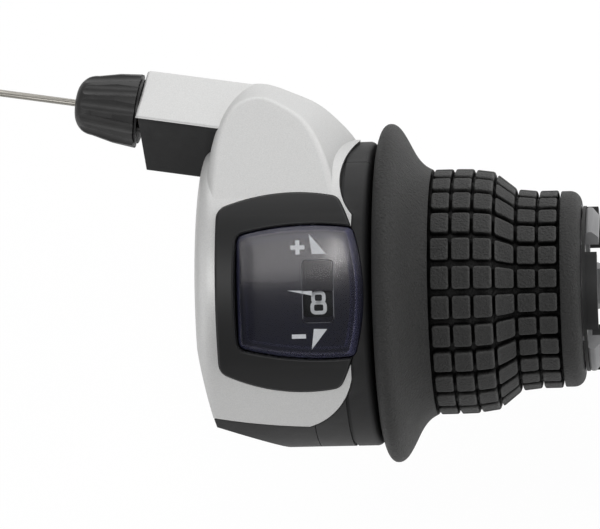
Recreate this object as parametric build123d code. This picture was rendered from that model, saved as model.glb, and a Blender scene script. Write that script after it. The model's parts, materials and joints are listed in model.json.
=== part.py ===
from build123d import *
import os
from math import atan2, cos, degrees, hypot, radians, sin, sqrt, tan

# Twist grip shifter for a straight handlebar. Sizes in millimetres, angles in degrees.
# Drawing frame: bar along X with +X outboard, window facing +Z, wire nose towards +Y.
# The finished pieces are turned about the bar by WINDOW_TILT, so the window looks up at the rider.

WINDOW_TILT = 45.0

# Fits
BAR_CLEARANCE = 0.05
RUN_CLEARANCE = 0.06
SEAT_CLEARANCE = 0.05
SEAM = 0.12
PAST = 1.0
END_PLAY = 0.3

# Handlebar and inner sleeve
BAR_D = 22.2
SLEEVE_WALL = 1.45
HOOK_COUNT = 3
HOOK_ANGLE = 58.5
HOOK_SPAN = 38.0
HOOK_HEIGHT = 1.9
HOOK_LENGTH = 2.2
HOOK_R = 0.6
SLIT_LENGTH = 4.5
SLIT_WIDTH = 1.2
SLEEVE_TIP_CHAMFER = 0.5

# Case around the drum
CASE_D = 52.8
CASE_WALL = 2.0
SCREW_BAY = 5.85
CASE_OUT_X = 1.2
BRACKET_LENGTH = 18.9
CASE_EDGE_R = 1.2
CASE_END_WALL = 1.0
CASE_GROOVE_W = 0.6
CASE_GROOVE_DEPTH = 0.5
CASE_GROOVE_X = -3.5
CASE_PARTING = 59.0
TAPER_V = -21.4
TAPER_ANGLE = 20.4
LEAN_V = -8.0
LEAN_ANGLE = 81.5

# Handlebar clamp in the bracket
HUB_WALL = 2.9
HUB_LENGTH = 8.6
CLAMP_SLOT = 1.6
EAR_W = 6.4
EAR_H = 5.0
EAR_REACH = 22.0
CLAMP_SCREW_D = 4.0
CLAMP_HEAD_D = 7.0
CLAMP_HEAD_H = 3.6
CLAMP_KEY = 3.0
CLAMP_NUT_W = 7.0
CLAMP_NUT_H = 3.0
CLAMP_TIP = 1.0

# Elbow cover
COVER_PROUD = 0.5
COVER_WALL = 1.8
COVER_EDGE_R = 3.0
COVER_LIP = 4.8
PANEL_ANGLE = 35.0
PANEL_SINK = 0.06
BACK_DEPTH = 8.0
BACK_IN = 1.6
HOOD_FOOT = 14.0
CREASE_R = 1.8
COVER_OVERLAP = 1.9
COVER_BOTTOM = ((-19.0, -21.7), (-10.5, -22.4))
COVER_BOTTOM_LEFT = -19.7
COVER_CORNER = (-5.7, -19.8)
COVER_TIP = (-2.4, -14.2)
COVER_NECK = (-1.7, 13.6)
COVER_SCOOP = (-4.0, 21.0)
COVER_TOP = (-1.6, 26.4)

# Elbow sections, as (share of the case length, height) from the left foot over the top to the right foot
HOOD_RIM = (
    (0.004, HOOD_FOOT),
    (0.020, 21.0),
    (0.046, 26.5),
    (0.090, 31.0),
    (0.165, 35.2),
    (0.285, 36.9),
    (0.517, 35.2),
    (0.664, 33.1),
    (0.782, 30.1),
    (0.883, 26.5),
    (0.950, 21.0),
    (0.973, HOOD_FOOT),
)
HOOD_CREASE = (
    (0.058, HOOD_FOOT),
    (0.062, 20.9),
    (0.082, 26.4),
    (0.125, 30.2),
    (0.208, 33.2),
    (0.325, 34.4),
    (0.483, 32.7),
    (0.597, 30.3),
    (0.671, 27.3),
    (0.725, 24.0),
    (0.785, 19.0),
    (0.839, HOOD_FOOT),
)

# Window: bezel, lens and dial plate, outlines as seen along the window normal
BEZEL_PROUD = 0.5
BEZEL_WALL = 2.0
BEZEL_EDGE_R = 0.4
BEZEL_INSET = 3.9
BEZEL_LEFT = (14.9, -12.6)
BEZEL_TOP = ((-13.5, 17.5), (-4.2, 16.7))
BEZEL_RIGHT = (0.0, 0.6)
BEZEL_BOTTOM = ((-4.4, -15.6), (-12.5, -16.1))
BEZEL_CORNER_R = 2.2
LENS_TOP = ((-21.2, 10.4), (-11.0, 11.9), (-1.6, 11.4))
LENS_RIGHT = (0.2, 0.8)
LENS_BOTTOM = ((-1.6, -10.4), (-11.4, -10.4), (-21.3, -8.6))
LENS_CORNER_R = 1.6
LENS_BOW = 0.3
LENS_DOME_R = 70.0
LENS_CROWN = 29.2
LENS_WALL = 1.5
LENS_EDGE_R = 0.7
LENS_DRAFT = 12.0
DIAL_THICK = 0.8
DIAL_GAP = 0.3
NUMBER_WINDOW = (5.0, 4.4)
NUMBER_WINDOW_R = 0.6
NUMBER_ANGLE = -3.4

# Wire nose, adjuster and shift wire
NOSE_RISE = 9.0
NOSE_W = 3.0
NOSE_V = 29.0
NOSE_SIDE = 12.6
NOSE_EDGE_R = 0.8
NOSE_DROP = 1.35
NOSE_REACH = 23.2
NOSE_CUT = 10.2
NOSE_END_R = 0.6
NOSE_WALL = 1.5
BOSS_D = 7.2
BOSS_TAIL = 8.0
STEM_D = 5.0
STEM_CLEARANCE = 0.1
STEM_DEPTH = 9.0
STEM_HEAD = 5.5
COLLAR_D = 11.2
COLLAR_THICK = 0.5
COLLAR_PIN_D = 1.2
COLLAR_PIN_L = 2.6
COLLAR_PIN_R = 4.5
KNOB_D = 13.0
KNOB_MID_D = 12.3
KNOB_TIP_D = 10.6
KNOB_FACE_D = 5.0
KNOB_LENGTH = 10.9
KNOB_NOSE = 3.4
KNOB_BULGE = (0.68, 0.33)
KNOB_FLUTES = 12
FLUTE_DEPTH = 0.45
FLUTE_R = 1.6
CASING_D = 4.2
CASING_DEPTH = 3.6
WIRE_D = 1.2
WIRE_BORE = 2.0
GUIDE_D = 3.4
GUIDE_BEND_R = 9.0
GUIDE_ARM = 10.0

# Drum, detent ring and number ring on the twisting side
DRUM_WIDTH = 6.0
DRUM_WALL = 2.0
DRUM_FLANGE = 2.4
DRUM_GROOVE_W = 1.6
NIPPLE_D = 4.0
NIPPLE_L = 4.4
DETENT_WIDTH = 3.0
DETENT_D = 37.4
GEARS = 8
CLICK = 10.5
NOTCH_D = 2.0
NOTCH_LIFT = 0.225
SPRING_THICK = 0.5
SPRING_GAP = 0.9
SPRING_WIDTH = 2.1
SPRING_START = 205.0
SPRING_SPAN = 52.0
NUMBER_WIDTH = 6.0
NUMBER_GAP = 1.3
NUMBER_WALL = 1.3
NUMBER_WEB = 1.2

# Grip core and rubber
CORE_WALL = 1.9
CORE_FLANGE_D = 44.0
CORE_FLANGE = 1.5
DOG_COUNT = 4
DOG_SPAN = 34.0
DOG_PLAY = 1.0
DOG_LENGTH = 2.4
FLANGE_GAP = 0.4
FLANGE_D = 58.8
FLANGE_LENGTH = 9.3
FLANGE_RIM = 1.9
FLANGE_LIP = (0.28, 0.62)
FLANK_CURVE = ((0.22, 0.18), (0.47, 0.70))
FLANK_END_SLOPE = -0.28
GRID_COLUMNS = 6
GRID_ROWS = 26
GRID_PITCH = 3.62
GRID_D = 42.5
WAIST_D = 34.2
GRID_FALL = ((0.0, 0.0), (0.0, 0.02), (0.05, 0.16), (0.28, 0.88), (0.92, 1.0), (1.0, 1.0))
GROOVE_W = 0.65
GROOVE_DEPTH = 1.4
ROW_GROOVE = 1.35
END_RING = 3.7
END_RING_D = 33.9
END_RING_R = 2.0

# End washer
WASHER_D = 28.6
WASHER_THICK = 0.5
TAB_SPAN = 56.0
TAB_LENGTH = 2.0
TAB_WALL = 1.5

# Screws
SCREW_D = 2.2
SCREW_HEAD_D = 3.8
SCREW_HEAD_H = 1.6
SCREW_SLOT = 0.8
SCREW_LENGTH = 7.0
SCREW_BOSS_D = 3.8
BOSS_SINK = 0.3
CASE_SCREW_R = 20.5
COVER_SCREWS = ((-11.6, 29.4), (-21.0, 33.1))
COVER_BOSS_D = 6.0
COVER_SCREW_SINK = 3.4

# Spare wire: straight run, coil, tie and end cap
RUN_OUT = 38.0
COIL_D = 31.0
COIL_BUNDLE_D = 6.2
TIE_WALL = 0.5
TIE_WIDTH = 4.0
TIE_ANGLE = 200.0
CAP_D = 2.0
CAP_LENGTH = 9.0
CAP_ANGLE = 300.0

# Derived radii and stations along the bar
bar_r = BAR_D / 2 + BAR_CLEARANCE
sleeve_r = bar_r + SLEEVE_WALL
drum_bore = sleeve_r + RUN_CLEARANCE
drum_r = drum_bore + DRUM_WALL
core_r = drum_bore + CORE_WALL
case_r = CASE_D / 2
case_in_r = case_r - CASE_WALL
cover_r = case_r + COVER_PROUD
bezel_r = cover_r + BEZEL_PROUD
hub_r = bar_r + HUB_WALL

case_length = HUB_LENGTH + END_PLAY + DRUM_WIDTH + DETENT_WIDTH + SEAT_CLEARANCE + NUMBER_WIDTH + SCREW_BAY
case_in = CASE_OUT_X - case_length
seam_x = case_in + BRACKET_LENGTH
hub_end = case_in + HUB_LENGTH
drum_in = hub_end + END_PLAY
drum_out = drum_in + DRUM_WIDTH
detent_out = drum_out + DETENT_WIDTH
number_in = detent_out + SEAT_CLEARANCE
number_out = number_in + NUMBER_WIDTH
core_in = number_out + END_PLAY
flange_in = CASE_OUT_X + FLANGE_GAP
grid_in = flange_in + FLANGE_LENGTH
grid_out = grid_in + GRID_COLUMNS * GRID_PITCH
grip_out = grid_out + END_RING
washer_in = grip_out + END_PLAY
washer_out = washer_in + WASHER_THICK
hook_in = washer_out + SEAT_CLEARANCE
sleeve_out = hook_in + HOOK_LENGTH

groove_x = drum_in + DRUM_WIDTH / 2
number_x = (number_in + number_out) / 2
number_r = case_in_r - NUMBER_GAP
pitch_r = drum_r + WIRE_D / 2
dial_back = number_r + DIAL_GAP
dial_front = dial_back + DIAL_THICK
lens_base = dial_front + SEAT_CLEARANCE

# Wire nose frame: origin at the elbow, local x is the window normal, local y is up, z points out
nose_dir = Vector(-cos(radians(NOSE_RISE)), sin(radians(NOSE_RISE)), 0)
nose_up = Vector(sin(radians(NOSE_RISE)), cos(radians(NOSE_RISE)), 0)
elbow = Vector(groove_x, NOSE_V, NOSE_W)
nose_half = NOSE_SIDE / sqrt(2)
knob_base = NOSE_REACH + COLLAR_THICK + SEAM
knob_tip = knob_base + KNOB_LENGTH


def nose_plane(reach):
    """Plane square to the nose axis, at a distance from the elbow."""
    return Plane(elbow + nose_dir * reach, x_dir=(0, 0, 1), z_dir=nose_dir)


def rod(radius, x0, x1):
    """Round bar along X."""
    return Pos((x0 + x1) / 2, 0, 0) * Rot(0, 90, 0) * Cylinder(radius, x1 - x0)


def ring(outer, inner, x0, x1):
    """Round tube along X."""
    return rod(outer, x0, x1) - rod(inner, x0 - PAST, x1 + PAST)


def turned(*points):
    """Solid of revolution about X from a closed outline of (x, radius) points."""
    return revolve(make_face(Polyline(*points, close=True)), Axis.X)


def sector(radius, middle, span, x0, x1):
    """Wedge about X; the middle angle is counted from the window normal towards the nose."""
    start = radians(middle - span / 2)
    end = radians(middle + span / 2)
    half = radians(middle)
    far = radius / cos(radians(span / 4))
    outline = Polyline(
        (0, 0),
        (far * sin(start), far * cos(start)),
        (far * sin(half), far * cos(half)),
        (far * sin(end), far * cos(end)),
        close=True,
    )
    return extrude(Plane.YZ.offset(x0) * make_face(outline), x1 - x0)


def post(outline, w0, w1):
    """Prism along the window normal between two heights."""
    return extrude(Pos(0, 0, w0) * outline, w1 - w0, dir=(0, 0, 1))


def nose_rod(diameter, s0, s1):
    """Round bar on the nose axis between two reaches from the elbow."""
    return extrude(nose_plane(s0) * Circle(diameter / 2), s1 - s0)


def outside(point, normal):
    """Large block on the outer side of a plane."""
    side = 4 * CASE_D
    return extrude(Plane(point, z_dir=normal) * Rectangle(side, side), side / 2)


def round_corners(face, points, radius):
    """Round the corners of a flat outline that lie nearest to the points."""
    corners = [face.vertices().sort_by_distance((*p, 0))[0] for p in points]
    return fillet(corners, radius)


def grown(face, amount):
    """Outline of lines and arcs, made larger or smaller by an even distance."""
    edges = []
    for edge in offset(face, amount).edges():
        straight = edge.geom_type == GeomType.LINE
        edges.append(Line(edge @ 0, edge @ 1) if straight else ThreePointArc(edge @ 0, edge @ 0.5, edge @ 1))
    return make_face(edges)


def below(v, angle, inset):
    """Space under a plane that leaves the case's inboard end at a height and slopes down outboard."""
    normal = Vector(-sin(radians(angle)), -cos(radians(angle)), 0)
    return outside(Vector(case_in, v, 0) - normal * inset, normal)


def taper(inset):
    """Space under the case's sloping inboard bottom, moved in by a wall."""
    return below(TAPER_V, TAPER_ANGLE, inset)


def lean(inset):
    """Space past the lower half of the case's leaning inboard end, moved in by a wall."""
    return below(LEAN_V, LEAN_ANGLE, inset)


# Outlines seen along the window normal

def cover_outline():
    """Edge of the silver cover: bottom lip, right flank, scooped neck, nose ridge."""
    left = case_in - COVER_OVERLAP
    far = left - 2 * NOSE_REACH
    start = (left, COVER_BOTTOM_LEFT)
    ridge = elbow - nose_up * NOSE_DROP

    def ridge_at(x):
        return ridge.Y - (x - ridge.X) * tan(radians(NOSE_RISE))

    roof = NOSE_V + 2 * nose_half
    edges = [
        ThreePointArc(start, *COVER_BOTTOM),
        ThreePointArc(COVER_BOTTOM[1], COVER_CORNER, COVER_TIP),
        Line(COVER_TIP, COVER_NECK),
        ThreePointArc(COVER_NECK, COVER_SCOOP, COVER_TOP),
        Polyline(COVER_TOP, (COVER_TOP[0], roof), (far, roof), (far, ridge_at(far))),
        Polyline((far, ridge_at(far)), (left, ridge_at(left)), start),
    ]
    return make_face(edges)


def bezel_outline():
    """Window frame: straight inboard edge, bowed top, right and bottom."""
    upper, lower = [(case_in + BEZEL_INSET, v) for v in BEZEL_LEFT]
    edges = [
        ThreePointArc(upper, *BEZEL_TOP),
        ThreePointArc(BEZEL_TOP[1], BEZEL_RIGHT, BEZEL_BOTTOM[0]),
        ThreePointArc(*BEZEL_BOTTOM, lower),
        Line(lower, upper),
    ]
    corners = [upper, BEZEL_TOP[1], BEZEL_BOTTOM[0], lower]
    return round_corners(make_face(edges), corners, BEZEL_CORNER_R)


def lens_outline():
    """Lens rim, bowed on all sides."""
    left = (LENS_TOP[0][0] - LENS_BOW, (LENS_TOP[0][1] + LENS_BOTTOM[2][1]) / 2)
    edges = [
        ThreePointArc(*LENS_TOP),
        ThreePointArc(LENS_TOP[2], LENS_RIGHT, LENS_BOTTOM[0]),
        ThreePointArc(*LENS_BOTTOM),
        ThreePointArc(LENS_BOTTOM[2], left, LENS_TOP[0]),
    ]
    corners = [LENS_TOP[0], LENS_TOP[2], LENS_BOTTOM[0], LENS_BOTTOM[2]]
    return round_corners(make_face(edges), corners, LENS_CORNER_R)


# Elbow cover

def hood_points(section, inset):
    """Points of an elbow section, drawn in by an even distance."""
    places = [Vector(case_in + share * (CASE_OUT_X - case_in), v) for share, v in section]
    drawn = []
    for before, place, after in zip([places[0], *places], places, [*places[1:], places[-1]]):
        drawn.append(place + (after - before).normalized().rotate(Axis.Z, -90) * inset)
    return drawn


def hood_section(section, inset, height, slope):
    """Closed elbow section on a plane whose height above the bar changes with v by a slope."""
    places = [Vector(place.X, place.Y, height + slope * place.Y) for place in hood_points(section, inset)]
    return make_face([Spline(*places), Line(places[-1], places[0])])


def elbow_block(inset):
    """Elbow between barrel and nose: a leaning front panel with bevelled sides, and a lower back."""
    panel_d = cover_r - PANEL_SINK - inset
    tilt = radians(PANEL_ANGLE)
    rim = hood_section(HOOD_RIM, inset, NOSE_W, 0)
    panel = hood_section(HOOD_CREASE, inset, panel_d / cos(tilt), -tan(tilt))
    back = hood_section(HOOD_RIM, inset + BACK_IN, NOSE_W - BACK_DEPTH + inset, 0)
    front = loft([rim, panel], ruled=True)
    if not inset:
        crease = [edge for edge in front.edges() if is_crease(edge, panel_d, tilt)]
        front = fillet(crease, CREASE_R)
    return front + loft([back, rim], ruled=True)


def is_crease(edge, panel_d, tilt):
    """True for the curved edge of the leaning panel."""
    middle = edge @ 0.5
    flat = abs(middle.Y * sin(tilt) + middle.Z * cos(tilt) - panel_d) < SEAM / 10
    return flat and edge.geom_type != GeomType.LINE


def nose_block(inset, s0, s1):
    """Square nose standing on its corner, with a soft outer end."""
    side = NOSE_SIDE - 2 * inset
    section = Pos(0, -NOSE_DROP) * Rot(0, 0, 45) * RectangleRounded(side, side, NOSE_EDGE_R)
    block = extrude(nose_plane(s0) * section, s1 - s0)
    if inset:
        return block
    tip = block.faces().sort_by(Axis(elbow, nose_dir))[-1]
    return fillet(tip.edges(), NOSE_END_R)


def nose_lower(gap):
    """Part of the nose under its ridge, which belongs to the bracket, or its space in the covers."""
    block = nose_block(0, BOSS_TAIL, NOSE_REACH)
    ridge = elbow - nose_up * (NOSE_DROP + SEAM / 2 - gap)
    if gap:
        return offset(block, gap) - outside(ridge, nose_up)
    end = nose_dir * cos(radians(NOSE_CUT)) - nose_up * sin(radians(NOSE_CUT))
    block -= outside(ridge, nose_up)
    return block - outside(ridge + nose_dir * (NOSE_REACH - NOSE_END_R), end)


def cover_solids():
    """Outer form and cavity that the front and rear covers share."""
    barrel = rod(cover_r, case_in, CASE_OUT_X)
    barrel = fillet(barrel.edges().group_by(Axis.X)[0], COVER_EDGE_R)
    form = barrel - taper(0) - lean(0) + elbow_block(0) + nose_block(0, 0, NOSE_REACH)
    cavity = rod(cover_r - COVER_WALL, case_in + COVER_WALL, CASE_OUT_X + COVER_WALL)
    cavity = cavity - taper(COVER_WALL) - lean(COVER_WALL)
    cavity += elbow_block(COVER_WALL) + nose_block(NOSE_WALL, 0, NOSE_REACH - NOSE_WALL)
    for place in COVER_SCREWS:
        cavity -= screw_post(place, NOSE_W - 2 * BACK_DEPTH, NOSE_W, COVER_BOSS_D)
        cavity -= screw_post(place, NOSE_W, 2 * cover_r, SCREW_BOSS_D)
    return form, cavity


def screw_post(place, w0, w1, diameter):
    """Round post or hole along the window normal."""
    return Pos(*place, (w0 + w1) / 2) * Cylinder(diameter / 2, w1 - w0)


def cover_screw_seat():
    """Height of the seat under a cover screw's head, sunk into the rear cover."""
    return NOSE_W - BACK_DEPTH + COVER_SCREW_SINK


def front_cover(form, cavity):
    """Silver cover over the front of the case, the elbow and the upper nose."""
    cover = form - cavity
    cover &= post(cover_outline(), NOSE_W + SEAM / 2, 2 * cover_r)
    cover -= nose_lower(SEAM)
    cover -= nose_rod(BOSS_D + 2 * SEAM, 0, NOSE_REACH + PAST)
    for pin in collar_pins(COLLAR_PIN_D + 2 * SEAM, COLLAR_PIN_L + COLLAR_PIN_D):
        cover -= pin
    cover -= post(grown(bezel_outline(), SEAM), 0, 2 * cover_r)
    cover -= rod(cover_r - COVER_LIP, case_in - PAST, CASE_OUT_X)
    for place in COVER_SCREWS:
        cover -= screw_post(place, NOSE_W - PAST, cover_screw_seat() + SCREW_LENGTH + SEAM, SCREW_D)
    return cover


def rear_cover(cavity):
    """Rear half of the elbow, screwed to the front cover from behind."""
    cover = elbow_block(0) + nose_block(0, 0, NOSE_REACH) - cavity
    cover -= outside(Vector(0, 0, NOSE_W - SEAM / 2), Vector(0, 0, 1))
    cover -= rod(case_r + SEAM, case_in - PAST, CASE_OUT_X + PAST)
    cover -= nose_lower(SEAM)
    cover -= nose_rod(BOSS_D + 2 * SEAM, 0, NOSE_REACH + PAST)
    for pin in collar_pins(COLLAR_PIN_D + 2 * SEAM, COLLAR_PIN_L + COLLAR_PIN_D):
        cover -= pin
    back = NOSE_W - BACK_DEPTH
    for place in COVER_SCREWS:
        cover -= screw_post(place, back - PAST, NOSE_W + PAST, SCREW_D + 2 * SEAM)
        cover -= screw_post(place, back - PAST, cover_screw_seat(), SCREW_HEAD_D + 2 * SEAM)
    return cover


# Black case

def black_case():
    """Round case wall, with the front left open for the cover, bezel and lens."""
    wall = rod(case_r, case_in, CASE_OUT_X)
    wall = fillet(wall.edges().filter_by(GeomType.CIRCLE), CASE_EDGE_R) - taper(0) - lean(0)
    wall -= rod(case_in_r, case_in - PAST, CASE_OUT_X + PAST) - taper(CASE_WALL)
    for outline in (cover_outline(), bezel_outline(), lens_outline()):
        wall -= post(grown(outline, SEAM), NOSE_W - SEAM / 2, 2 * cover_r)
    return wall


def clamp_axis(y0, y1, diameter):
    """Round bar or hole on the clamp screw's axis, across the clamp slot."""
    x = case_in + COVER_WALL + EAR_W / 2
    z = -(hub_r + EAR_REACH) / 2
    return Pos(x, (y0 + y1) / 2, z) * Rot(90, 0, 0) * Cylinder(diameter / 2, y1 - y0)


def bracket_case():
    """Inboard case with the handlebar clamp and the lower nose."""
    case = black_case() - rod(2 * case_r, seam_x, CASE_OUT_X + PAST)
    inset = COVER_WALL + SEAM
    web = rod(cover_r - inset, case_in + inset, case_in + inset + CASE_WALL)
    web += rod(cover_r - inset, case_in + inset, hub_end) & lean(inset + CASE_WALL)
    case += web - taper(inset) - lean(inset)
    case += rod(hub_r, case_in, hub_end)
    ear = Box(EAR_W, 2 * EAR_H, EAR_REACH - bar_r)
    case += Pos(case_in + COVER_WALL + EAR_W / 2, 0, -(bar_r + EAR_REACH) / 2) * ear
    case += nose_lower(0) + nose_rod(BOSS_D, BOSS_TAIL, NOSE_REACH)
    case -= rod(bar_r, case_in - PAST, hub_end + PAST)
    slot_end = EAR_REACH + SEAM
    case -= Pos((case_in + hub_end) / 2, 0, -slot_end / 2) * Box(2 * HUB_LENGTH, CLAMP_SLOT, slot_end)
    access = clamp_axis(-case_r, -EAR_H, CLAMP_HEAD_D + 4 * SEAM)
    mouth = Box(2 * EAR_W, case_r - EAR_H, CLAMP_HEAD_D + 4 * SEAM)
    case -= access + Pos(access.center() - Vector(EAR_W, 0, 0)) * mouth
    case -= clamp_axis(-EAR_H - PAST, EAR_H + PAST, CLAMP_SCREW_D + 2 * SEAM)
    case -= clamp_axis(EAR_H, EAR_H + 2 * CLAMP_NUT_H, CLAMP_NUT_W * 2 / sqrt(3) + 4 * SEAM)
    case -= nose_rod(STEM_D + 2 * STEM_CLEARANCE, NOSE_REACH - STEM_DEPTH - PAST, NOSE_REACH + PAST)
    case -= nose_rod(WIRE_BORE, BOSS_TAIL - PAST, NOSE_REACH)
    case -= along_path(guide_points(), GUIDE_D + 2 * SEAT_CLEARANCE, GUIDE_BEND_R)
    for pin in collar_pins(COLLAR_PIN_D + 2 * SEAM, COLLAR_PIN_L + COLLAR_PIN_D):
        case -= pin
    return case


def parting_direction():
    """Square to the case's parting plane, towards the rear half."""
    return Vector(0, cos(radians(CASE_PARTING)), -sin(radians(CASE_PARTING)))


def case_screw_plane(side):
    """Plane of the parting face at a case screw, looking out of the rear half."""
    angle = radians(CASE_PARTING)
    along = Vector(0, sin(angle), cos(angle)) * (CASE_SCREW_R * side)
    inset = CASE_END_WALL + SCREW_BOSS_D / 2 - BOSS_SINK
    origin = Vector(CASE_OUT_X - inset, 0, 0) + along
    return Plane(origin, x_dir=(1, 0, 0), z_dir=parting_direction())


def screw_hole(side, depth0, depth1, diameter):
    """Round bar or hole on a case screw's axis, measured from the parting face."""
    return extrude(case_screw_plane(side).offset(depth0) * Circle(diameter / 2), depth1 - depth0)


def outboard_case():
    """Outboard case: wall, end wall, ring groove and screw bosses, before it is parted."""
    case = black_case() - rod(2 * case_r, case_in - PAST, seam_x + SEAM)
    case += ring(case_r - CASE_EDGE_R, core_r + 4 * SEAM, CASE_OUT_X - CASE_END_WALL, CASE_OUT_X)
    groove = ring(case_r + PAST, case_r - CASE_GROOVE_DEPTH, -CASE_GROOVE_W / 2, CASE_GROOVE_W / 2)
    case -= Pos(CASE_GROOVE_X, 0, 0) * groove
    head = SCREW_LENGTH / 2
    for side in (-1, 1):
        case += screw_hole(side, -SCREW_LENGTH, head, SCREW_BOSS_D)
        case -= screw_hole(side, -head - PAST, 0, SCREW_D)
        case -= screw_hole(side, 0, head + PAST, SCREW_D + 2 * SEAM)
        case -= screw_hole(side, head, case_r, SCREW_HEAD_D + 2 * SEAM)
    return case


def case_half(case, facing):
    """One half of the outboard case: facing 1 keeps the rear, -1 the front."""
    direction = parting_direction() * facing
    return case - outside(direction * (SEAM / 2), direction * -1)


# Window

def bezel():
    """Curved window frame, open on the right where the lens closes it."""
    frame = ring(bezel_r, bezel_r - BEZEL_WALL, case_in, CASE_OUT_X)
    frame &= post(bezel_outline(), 0, 2 * bezel_r)
    frame -= post(grown(lens_outline(), SEAM), 0, 2 * bezel_r)
    outer = []
    for edge in frame.edges():
        middle = edge @ 0.5
        if abs(hypot(middle.Y, middle.Z) - bezel_r) < SEAM / 10:
            outer.append(edge)
    return fillet(outer, BEZEL_EDGE_R)


def lens_form(inset, base):
    """Domed block with drafted sides."""
    draft = (LENS_CROWN - base) * tan(radians(LENS_DRAFT))
    rim = grown(lens_outline(), -inset) if inset else lens_outline()
    top = grown(lens_outline(), -inset - draft)
    block = loft([Pos(0, 0, base) * rim, Pos(0, 0, LENS_CROWN) * top], ruled=True)
    centre = lens_outline().center()
    ball = Pos(centre.X, centre.Y, LENS_CROWN - LENS_DOME_R) * Sphere(LENS_DOME_R - inset)
    return block & ball


def lens():
    """Clear cap over the dial."""
    cap = lens_form(0, lens_base)
    dome = cap.faces().filter_by(GeomType.SPHERE)[0]
    rim = [edge for edge in dome.edges() if edge.geom_type != GeomType.CIRCLE]
    return fillet(rim, LENS_EDGE_R) - lens_form(LENS_WALL, lens_base)


def dial_plate():
    """Flat dial with its number window."""
    plate = post(grown(lens_outline(), -SEAM), dial_back, dial_front)
    middle = number_r * sin(radians(NUMBER_ANGLE))
    opening = Pos(number_x, middle) * RectangleRounded(*NUMBER_WINDOW, NUMBER_WINDOW_R)
    return plate - post(opening, 0, 2 * dial_front)


# Handlebar sleeve, clamp fasteners and end washer

def hook_angles():
    """Angles of the snap hooks around the bar."""
    return [HOOK_ANGLE + n * 360 / HOOK_COUNT for n in range(HOOK_COUNT)]


def inner_sleeve():
    """Fixed sleeve that the grip turns on, with snap hooks at its outboard end."""
    hook_r = sleeve_r + HOOK_HEIGHT
    ridge_x = hook_in + HOOK_LENGTH / 2
    crown = [(hook_in, hook_r), (ridge_x, hook_r), (sleeve_out, sleeve_r + SLEEVE_TIP_CHAMFER)]
    profile = make_face(
        Polyline(
            (hub_end, bar_r),
            (hub_end, sleeve_r),
            (hook_in, sleeve_r),
            *crown,
            (sleeve_out, bar_r),
            close=True,
        )
    )
    sleeve = revolve(round_corners(profile, crown, HOOK_R), Axis.X)
    gap = 360 / HOOK_COUNT - HOOK_SPAN
    for angle in hook_angles():
        sleeve -= sector(2 * hook_r, angle + 180 / HOOK_COUNT, gap, hook_in, sleeve_out + PAST)
        for side in (-1, 1):
            slit = Pos(hook_in, 0, sleeve_r) * Box(2 * SLIT_LENGTH, SLIT_WIDTH, sleeve_r)
            sleeve -= Rot(-angle - side * HOOK_SPAN / 2, 0, 0) * slit
    return sleeve


def end_washer():
    """Dark thrust washer with tabs between the hooks."""
    bore = sleeve_r + SEAT_CLEARANCE
    washer = ring(WASHER_D / 2, bore, washer_in, washer_out)
    tabs = ring(bore + TAB_WALL, bore, washer_in, washer_out + TAB_LENGTH)
    for angle in hook_angles():
        middle = angle + 180 / HOOK_COUNT
        washer += tabs & sector(WASHER_D, middle, TAB_SPAN, washer_in, washer_out + TAB_LENGTH)
    return washer


def hex_prism(width, height):
    """Hexagonal prism standing on its base."""
    return extrude(RegularPolygon(width / sqrt(3), 6), height)


def clamp_screw():
    """Socket head screw across the clamp slot."""
    end = EAR_H + CLAMP_NUT_H + CLAMP_TIP
    screw = clamp_axis(-EAR_H, end, CLAMP_SCREW_D)
    head = clamp_axis(-EAR_H - CLAMP_HEAD_H, -EAR_H, CLAMP_HEAD_D)
    socket = hex_prism(CLAMP_KEY, CLAMP_HEAD_H / 2)
    seat = head.center() + Vector(0, -CLAMP_HEAD_H / 2, 0)
    return screw + head - Pos(seat) * Rot(-90, 0, 0) * socket


def clamp_nut():
    """Hexagon nut on the clamp screw."""
    seat = clamp_axis(EAR_H, EAR_H + CLAMP_NUT_H, CLAMP_SCREW_D).center()
    nut = Pos(seat - Vector(0, CLAMP_NUT_H / 2, 0)) * Rot(-90, 0, 0) * hex_prism(CLAMP_NUT_W, CLAMP_NUT_H)
    return nut - clamp_axis(EAR_H - PAST, EAR_H + CLAMP_NUT_H + PAST, CLAMP_SCREW_D + 2 * SEAT_CLEARANCE)


def small_screw():
    """Slotted screw along Z with its head's seat at the origin and its shank below."""
    shank = Pos(0, 0, -SCREW_LENGTH / 2) * Cylinder(SCREW_D / 2 - SEAT_CLEARANCE, SCREW_LENGTH)
    head = Pos(0, 0, SCREW_HEAD_H / 2) * Cylinder(SCREW_HEAD_D / 2, SCREW_HEAD_H)
    slot = Pos(0, 0, SCREW_HEAD_H) * Box(SCREW_HEAD_D * 2, SCREW_SLOT, SCREW_HEAD_H)
    return shank + head - slot


def cover_screws():
    """Screws that hold the rear cover to the front cover."""
    return [Pos(*place, cover_screw_seat()) * Rot(180, 0, 0) * small_screw() for place in COVER_SCREWS]


def case_screws():
    """Screws that hold the two halves of the outboard case together."""
    return [case_screw_plane(side).offset(SCREW_LENGTH / 2) * small_screw() for side in (-1, 1)]


# Twisting side

def cable_drum():
    """Drum with a wire groove, a head pocket, and a hub that carries the rings."""
    hub_out = core_in - SEAT_CLEARANCE
    drum = rod(drum_r, drum_in, hub_out) + rod(drum_r + DRUM_FLANGE, drum_in, drum_out)
    half = DRUM_GROOVE_W / 2
    drum -= ring(2 * case_r, drum_r, groove_x - half, groove_x + half)
    drum -= wire_head(2 * SEAT_CLEARANCE)
    for n in range(DOG_COUNT):
        drum -= sector(case_r, n * 360 / DOG_COUNT, DOG_SPAN + DOG_PLAY, core_in - DOG_LENGTH - SEAM, core_in)
    return drum - rod(drum_bore, drum_in - PAST, hub_out + PAST)


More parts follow.
